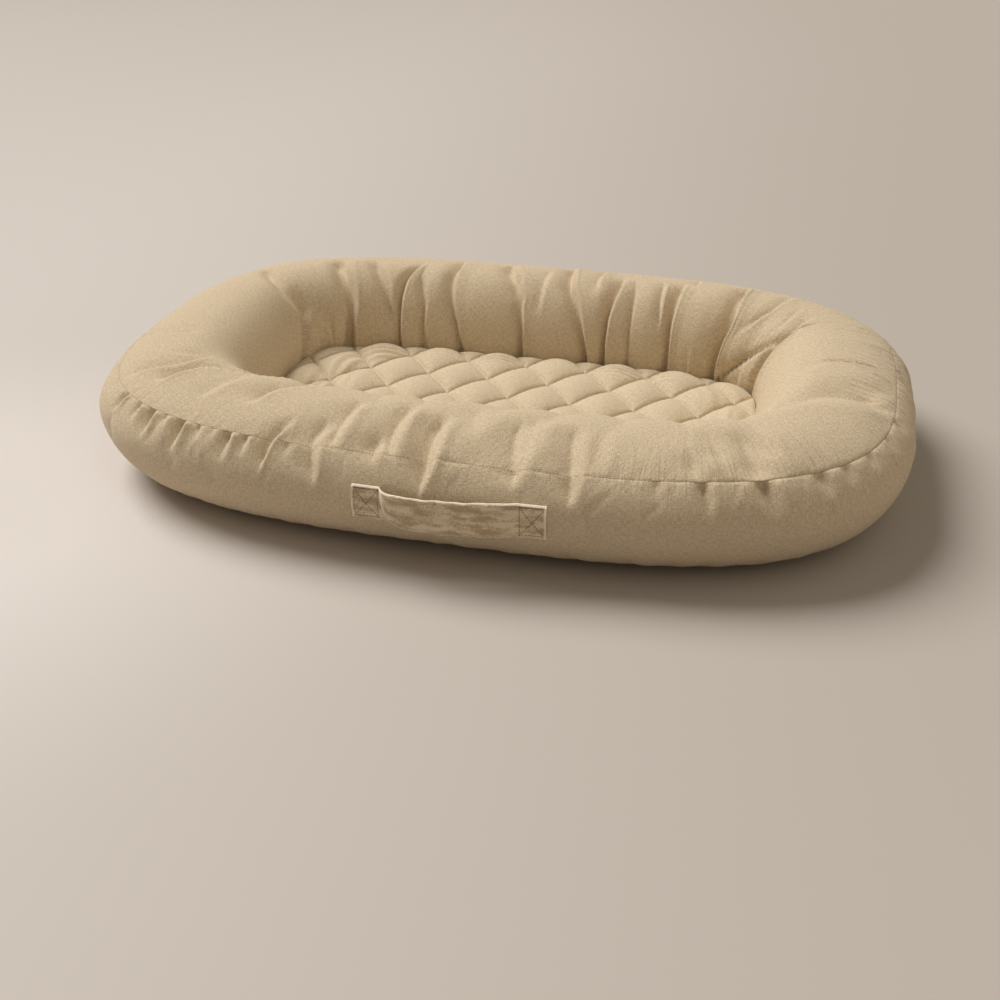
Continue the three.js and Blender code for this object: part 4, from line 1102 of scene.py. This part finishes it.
class GrowingTree:
    """A Geometry Nodes tree with named inputs, which makes the form of a piece."""

    def __init__(self, name, inputs, result):
        self.tree = bpy.data.node_groups.new(name, "GeometryNodeTree")
        self.identifiers = {}
        for label, (kind, value) in inputs.items():
            socket = self.tree.interface.new_socket(label, in_out="INPUT", socket_type="NodeSocket" + kind)
            if value is not None:
                socket.default_value = value
            self.identifiers[label] = socket.identifier
        self.tree.interface.new_socket(result, in_out="OUTPUT", socket_type="NodeSocketGeometry")
        self.given = self.node("NodeGroupInput", {})

    def node(self, kind, sockets, **settings):
        """Adds a node with its settings and the values or links of its sockets, and gives its outputs."""
        made = self.tree.nodes.new(kind)
        for name, value in settings.items():
            setattr(made, name, value)
        for name, value in sockets.items():
            if isinstance(value, bpy.types.NodeSocket):
                self.tree.links.new(value, made.inputs[name])
            else:
                made.inputs[name].default_value = value
        return made.outputs

    def end(self, geometry, material, result):
        """Makes the form's instances real, sets its material and gives it as the tree's result."""
        real = self.node("GeometryNodeRealizeInstances", {"Geometry": geometry})
        finished = self.node("GeometryNodeSetMaterial", {"Geometry": real["Geometry"], "Material": material})
        self.node("NodeGroupOutput", {result: finished["Geometry"]})

    def grow(self, piece, values):
        """Runs the tree on a piece, and leaves what it makes there as a plain mesh."""
        growth = piece.modifiers.new("growth", "NODES")
        growth.node_group = self.tree
        for label, value in values.items():
            growth[self.identifiers[label]] = value
        made = bpy.data.meshes.new_from_object(piece.evaluated_get(bpy.context.evaluated_depsgraph_get()))
        piece.modifiers.clear()
        piece.data = made


def coil_tree():
    """A tree that winds a thread into a flat helix along X."""
    tree = GrowingTree("zip_coil", {
        "Turns": ("Float", 10),
        "Coil length": ("Float", 0.01),
        "Half width": ("Float", 0.001),
        "Half height": ("Float", 0.0005),
        "Thread width": ("Float", 0.0005),
        "Coil start": ("Vector", (0, 0, 0)),
        "Coil finish": ("Material", None),
    }, "Coil")
    given, node = tree.given, tree.node
    helix = node("GeometryNodeCurveSpiral", {
        "Resolution": 10, "Start Radius": 1, "End Radius": 1,
        "Rotations": given["Turns"], "Height": given["Coil length"]})
    flat = node("ShaderNodeCombineXYZ", {"X": given["Half height"], "Y": given["Half width"], "Z": 1})
    laid = node("GeometryNodeTransform", {
        "Geometry": helix["Curve"], "Translation": given["Coil start"],
        "Rotation": (0, math.pi / 2, 0), "Scale": flat["Vector"]})
    half = node("ShaderNodeMath", {0: given["Thread width"], 1: 0.5}, operation="MULTIPLY")
    round_thread = node("GeometryNodeCurvePrimitiveCircle", {"Resolution": 6, "Radius": half["Value"]})
    wound = node("GeometryNodeCurveToMesh", {
        "Curve": laid["Geometry"], "Profile Curve": round_thread["Curve"], "Fill Caps": True})
    smooth = node("GeometryNodeSetShadeSmooth", {"Geometry": wound["Mesh"]})
    tree.end(smooth["Geometry"], given["Coil finish"], "Coil")
    return tree


tape_nylon = dyed_nylon("zip_tape_nylon", 0.75, srgb(166, 146, 112), srgb(198, 179, 146), 0.0009)
coil_nylon = dyed_nylon("zip_coil_nylon", 0.36, srgb(178, 158, 124), srgb(198, 179, 146))
nickel = satin_nickel()
zip_coil = coil_tree()

tape_run = np.linspace(-ZIP_LENGTH / 2 - ZIP_TAPE_OVERHANG, ZIP_LENGTH / 2 + ZIP_TAPE_OVERHANG, 150)
for place, side in (("rear", 1), ("front", -1)):
    run, part = np.meshgrid(tape_run, np.linspace(0, 1, 13)[::-side], indexing="ij")
    tape_y = side * (COIL_SPACING / 2 + ZIP_TAPE_WIDTH * part)
    corded = 0.00005 * np.cos(part * 30) + 0.00003 * np.sin(run * 310)
    tape_plan = np.stack([run, tape_y], -1)
    tape_face = np.concatenate([tape_plan, (ZIP_TAPE_UNDERSIDE + corded)[..., None]], -1)
    tape = thickened(grid_piece("tape_" + place, tape_face, False, tape_plan), ZIP_TAPE_THICKNESS)
    tape.data.materials.append(tape_nylon)
    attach(tape, "lounger")
    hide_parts("zip_tape_" + place)

    coil = placed("coil_" + place, bpy.data.meshes.new("coil_" + place))
    zip_coil.grow(coil, {
        "Turns": ZIP_LENGTH / COIL_PITCH,
        "Coil length": ZIP_LENGTH - COIL_THREAD,
        "Half width": (COIL_WIDTH - COIL_THREAD) / 2,
        "Half height": (COIL_HEIGHT - COIL_THREAD) / 2,
        "Thread width": COIL_THREAD,
        "Coil start": (-(ZIP_LENGTH - COIL_THREAD) / 2, side * (COIL_SPACING + COIL_WIDTH) / 2,
                       COIL_UNDERSIDE + COIL_HEIGHT / 2),
        "Coil finish": coil_nylon,
    })
    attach(coil, "lounger")
    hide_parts("zip_coil_" + place)

for node in ("zip_top_stop_rear", "zip_top_stop_front", "zip_bottom_stop", "zip_slider", "zip_pull"):
    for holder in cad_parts[node].material_slots:
        holder.material = nickel

# Carry handle
# A strap of the same linen, folded in four and pressed, so that its long edges and ends stand up as thin
# rolled rims. Its ends are sewn flat on the front side, and its middle bows off it to let fingers through.

HANDLE_LENGTH, HANDLE_WIDTH, HANDLE_THICKNESS = 0.158, 0.0295, 0.0022
HANDLE_BOX = 0.023
HANDLE_MIDDLE, HANDLE_HEIGHT = 0.013, 0.058
HANDLE_BOW, HANDLE_BOW_LEAN = 0.0062, 0.7
HANDLE_START = HANDLE_MIDDLE - HANDLE_LENGTH / 2
SPAN_START, SPAN_END = HANDLE_START + HANDLE_BOX, HANDLE_START + HANDLE_LENGTH - HANDLE_BOX
# The strap stands this far off the side, and lifts and sags this much where it lets go of it
HANDLE_STANDOFF = 0.0004
LIP_LIFT, LIP_REACH, HANDLE_SAG = 0.0038, 0.0036, 0.0016
# The strap's soft creases: height, how fast each turns along and across it, and where it starts
HANDLE_CREASES = [(0.00055, 21, 2.2, 0), (0.00045, 43, -5.1, 1.3)]
# Its rims stand up from the pressed face, and a painted highlight lightens their edges, the strap's ends and the lip
# where it lets go of the side
FACE_SINK, RIM_RISE, RIM_WIDTH, END_RIM_WIDTH = 0.0009, 0.0014, 0.0015, 0.0016
HIGHLIGHT_WIDTH, LIP_HIGHLIGHT_PLACE = 0.0011, 0.0012
# The rims' pale colour is a painted highlight
handle_linen = linen("handle_linen", srgb(234, 216, 186), srgb(190, 168, 136), 2.0, 5.0,
                     rims=srgb(252, 241, 220))


def half_width_at(x):
    return HALF_WIDTH * (1 - np.abs(x / HALF_LENGTH) ** OUTLINE_SQUARENESS) ** (1 / OUTLINE_SQUARENESS)


def side_inset(z):
    """How far the bolster's side stands in from the outline at a height."""
    low = np.clip((BULGE_HEIGHT - z) / BULGE_HEIGHT, 0, 1)
    high = np.clip((z - BULGE_HEIGHT) / (CROWN_HEIGHT - BULGE_HEIGHT), 0, 1)
    return FOOT_INSETS[0] * (1 - np.sqrt(1 - low ** 2)) + CROWN_INSET * (1 - np.sqrt(1 - high ** 2))


def lip_lean(across):
    """How far the strap's lower edge lets go of the side later than its upper edge."""
    return 0.0020 * (0.5 - across) + 0.0055 * (0.5 - across) ** 3


def strap_face(x, across, lift):
    """Points of the strap at places along and across it, a lift away from the side."""
    share = np.clip((x - SPAN_START - lip_lean(across)) / (SPAN_END - SPAN_START), 0, 1)
    free = np.sin(math.pi * share ** HANDLE_BOW_LEAN)
    lip = 1 - np.exp(-np.maximum(share, 0) * (SPAN_END - SPAN_START) / LIP_REACH)
    free_lift = HANDLE_BOW * np.maximum(free, 0) * 0.6 + LIP_LIFT * lip * (1 - share) ** 0.8
    crease = sum(height * np.sin(share * along + across * over + start) * np.sin(math.pi * share)
                 for height, along, over, start in HANDLE_CREASES)
    z = HANDLE_HEIGHT + HANDLE_WIDTH * across - HANDLE_SAG * lip * (1 - share ** 3)
    y = -half_width_at(x) + side_inset(z) * (1 - free) - HANDLE_STANDOFF - lift - free_lift - crease * lip
    return np.stack([np.broadcast_to(x, y.shape), y, z], -1)


def strap_part(name, start, end):
    columns = np.unique(np.concatenate([
        np.linspace(start, end, 110), SPAN_START + np.linspace(-0.002, 0.008, 26)]))
    columns = columns[(columns >= start) & (columns <= end)][:, None]
    turn = np.linspace(-math.pi / 2, math.pi / 2, 7)[None, :]
    half = HANDLE_THICKNESS / 2
    run = np.linspace(-0.5, 0.5, 31)[None, 1:-1]
    to_edge = np.minimum(0.5 - np.abs(run), 1) * HANDLE_WIDTH
    from_end = np.minimum(columns - HANDLE_START, HANDLE_START + HANDLE_LENGTH - columns)
    rim = np.exp(-(to_edge / RIM_WIDTH) ** 4) + np.exp(-(from_end / END_RIM_WIDTH) ** 4)
    front_lift = HANDLE_THICKNESS - FACE_SINK + RIM_RISE * np.minimum(rim, 1)
    roll = half / HANDLE_WIDTH
    loop_across = np.concatenate([run, 0.5 - roll + roll * np.cos(turn), run[:, ::-1],
                                  -0.5 + roll - roll * np.cos(turn)], 1)
    edge_lift = half - half * np.sin(turn)
    ones = np.ones_like(columns)
    loop_lift = np.concatenate([front_lift, ones * edge_lift, ones * np.zeros_like(run),
                                ones * edge_lift[:, ::-1]], 1)
    points = strap_face(columns * np.ones_like(loop_across), loop_across * ones, loop_lift)
    index = grid_index(points.shape)
    beside = np.roll(index, -1, 1)
    sides = np.stack([index[:-1], index[1:], beside[1:], beside[:-1]], -1).reshape(-1, 4)
    faces = sides.tolist() + [index[0].tolist(), index[-1][::-1].tolist()]
    made = bpy.data.meshes.new(name)
    made.from_pydata(points.reshape(-1, 3).tolist(), [], faces)
    along_strap = np.broadcast_to(columns, points.shape[:2])
    cut = np.stack([along_strap, np.broadcast_to(loop_across * HANDLE_WIDTH, points.shape[:2])], -1)
    map_cut(made, cut.reshape(-1, 2)[np.concatenate([sides.ravel(), index[0], index[-1][::-1]])])
    made.shade_smooth()
    # A painted highlight along the strap's long edges, its ends and the lip, where light catches them
    pressed = made.attributes.new("pressed", "FLOAT", "POINT")
    loop_edge = (0.5 - np.abs(loop_across)) * HANDLE_WIDTH
    from_lip = columns - SPAN_START - lip_lean(loop_across) - LIP_HIGHLIGHT_PLACE
    lip_highlight = np.exp(-(from_lip / RIM_WIDTH) ** 2)
    painted_highlight = np.exp(-(loop_edge / HIGHLIGHT_WIDTH) ** 2) + np.exp(-(from_end / HIGHLIGHT_WIDTH) ** 2) + lip_highlight
    pressed.data.foreach_set("value", np.minimum(painted_highlight, 1).astype(np.float32).ravel())
    for face in made.polygons[-2:]:
        face.use_smooth = False
    shell = bmesh.new()
    shell.from_mesh(made)
    bmesh.ops.recalc_face_normals(shell, faces=shell.faces)
    for face in shell.faces:
        if len(face.verts) > 4:
            for edge in face.edges:
                edge.smooth = False
    shell.to_mesh(made)
    shell.free()
    strap = placed(name, made)
    strap.data.materials.append(handle_linen)
    return strap


strap_left = strap_part("strap_left", HANDLE_START, HANDLE_MIDDLE)
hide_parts("handle_end_left", "handle_grip")
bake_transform(strap_left)

strap_right = strap_part("strap_right", HANDLE_MIDDLE, HANDLE_START + HANDLE_LENGTH)
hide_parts("handle_end_right")
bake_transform(strap_right)

# Stitching
# Spun polyester thread, a shade darker than the linen, closes the two outer seams. A much darker thread quilts the
# floor and holds the strap's ends in a box with a cross, as painted shade that darkens those stitch lines. Each
# stitch dips into the cloth at both ends.

def thread(name, dark, light):
    material, shader, place = finish(name, 0.6)
    place.noise(2600, 1).colour(dark, light).feeds(shader, "Base Color")
    return material


def stitch_tree():
    """A tree that lays stitches along the edges of a mesh."""
    tree = GrowingTree("stitch_run", {
        "Path": ("Geometry", None),
        "Stitch pitch": ("Float", 0.003),
        "Stitch length": ("Float", 0.002),
        "Thread width": ("Float", 0.0005),
        "Thread finish": ("Material", None),
    }, "Stitches")
    given, node = tree.given, tree.node
    path = node("GeometryNodeMeshToCurve", {"Mesh": given["Path"]})
    places = node("GeometryNodeCurveToPoints", {
        "Curve": path["Curve"], "Length": given["Stitch pitch"]}, mode="LENGTH")
    bead = node("GeometryNodeMeshUVSphere", {"Segments": 6, "Rings": 4, "Radius": 0.5})
    size = node("ShaderNodeCombineXYZ", {
        "X": given["Thread width"], "Y": given["Thread width"], "Z": given["Stitch length"]})
    stitch = node("GeometryNodeTransform", {"Geometry": bead["Mesh"], "Scale": size["Vector"]})
    smooth = node("GeometryNodeSetShadeSmooth", {"Geometry": stitch["Geometry"]})
    laid = node("GeometryNodeInstanceOnPoints", {
        "Points": places["Points"], "Rotation": places["Rotation"], "Instance": smooth["Geometry"]})
    tree.end(laid["Instances"], given["Thread finish"], "Stitches")
    return tree


sewing_thread = thread("sewing_thread", srgb(142, 121, 92), srgb(180, 159, 127))
# The quilting and the strap's boxes get a much darker thread, painted shade that darkens their stitch lines
painted_shade_thread = thread("painted_shade_thread", srgb(92, 75, 53), srgb(124, 104, 77))
stitch_run = stitch_tree()
# The pitch and length of each kind of stitch, and the width of its thread
SEAM_STITCH, ZIP_STITCH = (0.0029, 0.0019, 0.00042), (0.0029, 0.0020, 0.00042)
QUILT_STITCH, BOX_STITCH = (0.0030, 0.0021, 0.0005), (0.0023, 0.0022, 0.0005)
THREAD_LIFT = 0.0001
BOX_MARGIN, BOX_START, BOX_END, BOX_SINK = 0.0026, 0.0022, 0.0012, 0.0008
TOPSTITCH_REACH = 0.1785, 0.0078


def sewn_along(name, paths, stitch, yarn=sewing_thread):
    """Stitches along paths, each an array of points, as one piece."""
    counts = [len(path) for path in paths]
    starts = np.concatenate([[0], np.cumsum(counts)[:-1]])
    edges = [(start + i, start + i + 1) for start, count in zip(starts, counts) for i in range(count - 1)]
    made = bpy.data.meshes.new(name)
    made.from_pydata(np.concatenate(paths).tolist(), edges, [])
    piece = placed(name, made)
    pitch, length, width = stitch
    stitch_run.grow(piece, {
        "Stitch pitch": pitch, "Stitch length": length, "Thread width": width, "Thread finish": yarn})
    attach(piece, "lounger")


round_trip = np.linspace(0, 1, 1400)
for name, mark in (("upper_seam_stitches", 0.0), ("lower_seam_stitches", LOWER_SEAM_MARK)):
    sewn_along(name, [folded_ring(round_trip % 1, np.array([mark]), -THREAD_LIFT)[:, 0]], SEAM_STITCH)

joint_marks = np.linspace(LOWER_SEAM_MARK + 0.001, -0.001, 60)
sewn_along("side_joint_stitches", [
    folded_ring(np.array([share]), joint_marks, -THREAD_LIFT)[0] for share in SIDE_JOINTS], SEAM_STITCH)

quilt_lines = []
run = np.linspace(-QUILT_REACH, QUILT_REACH, 2 * QUILT_REACH * 30 + 1)
for line in range(-QUILT_REACH, QUILT_REACH + 1):
    for pair in ((np.full_like(run, line), run), (run, np.full_like(run, line))):
        line_x, line_y = quilt_plan(*pair)
        inside = well_radius(line_x, line_y, 0.001) < 1
        if inside.sum() > 2:
            height = QUILT_LINE_HEIGHT + quilt_height(*pair, line_x, line_y) + 2 * THREAD_LIFT
            quilt_lines.append(np.stack([line_x, line_y, height], -1)[inside])
sewn_along("quilting_stitches", quilt_lines, QUILT_STITCH, painted_shade_thread)

box_lines = []
for start in (HANDLE_START, HANDLE_START + HANDLE_LENGTH - HANDLE_BOX):
    near, far = start + BOX_START, start + HANDLE_BOX - BOX_END
    low, high = -0.5 + BOX_MARGIN / HANDLE_WIDTH, 0.5 - BOX_MARGIN / HANDLE_WIDTH
    for a, b in [((near, low), (far, low)), ((far, low), (far, high)), ((far, high), (near, high)),
                 ((near, high), (near, low)), ((near, low), (far, high)), ((near, high), (far, low))]:
        part = np.linspace(0, 1, 40)
        line_x, line_across = a[0] + (b[0] - a[0]) * part, a[1] + (b[1] - a[1]) * part
        box_lines.append(strap_face(line_x, line_across, np.full(40, HANDLE_THICKNESS - BOX_SINK)))
sewn_along("strap_stitches", box_lines, BOX_STITCH, painted_shade_thread)

zip_corners = [
    (x * TOPSTITCH_REACH[0], y * TOPSTITCH_REACH[1]) for x, y in [(-1, -1), (1, -1), (1, 1), (-1, 1), (-1, -1)]]
sewn_along("zip_topstitches", [
    np.array([(*start, RECESS_HEIGHT - THREAD_LIFT), (*end, RECESS_HEIGHT - THREAD_LIFT)])
    for start, end in zip(zip_corners, zip_corners[1:])], ZIP_STITCH)
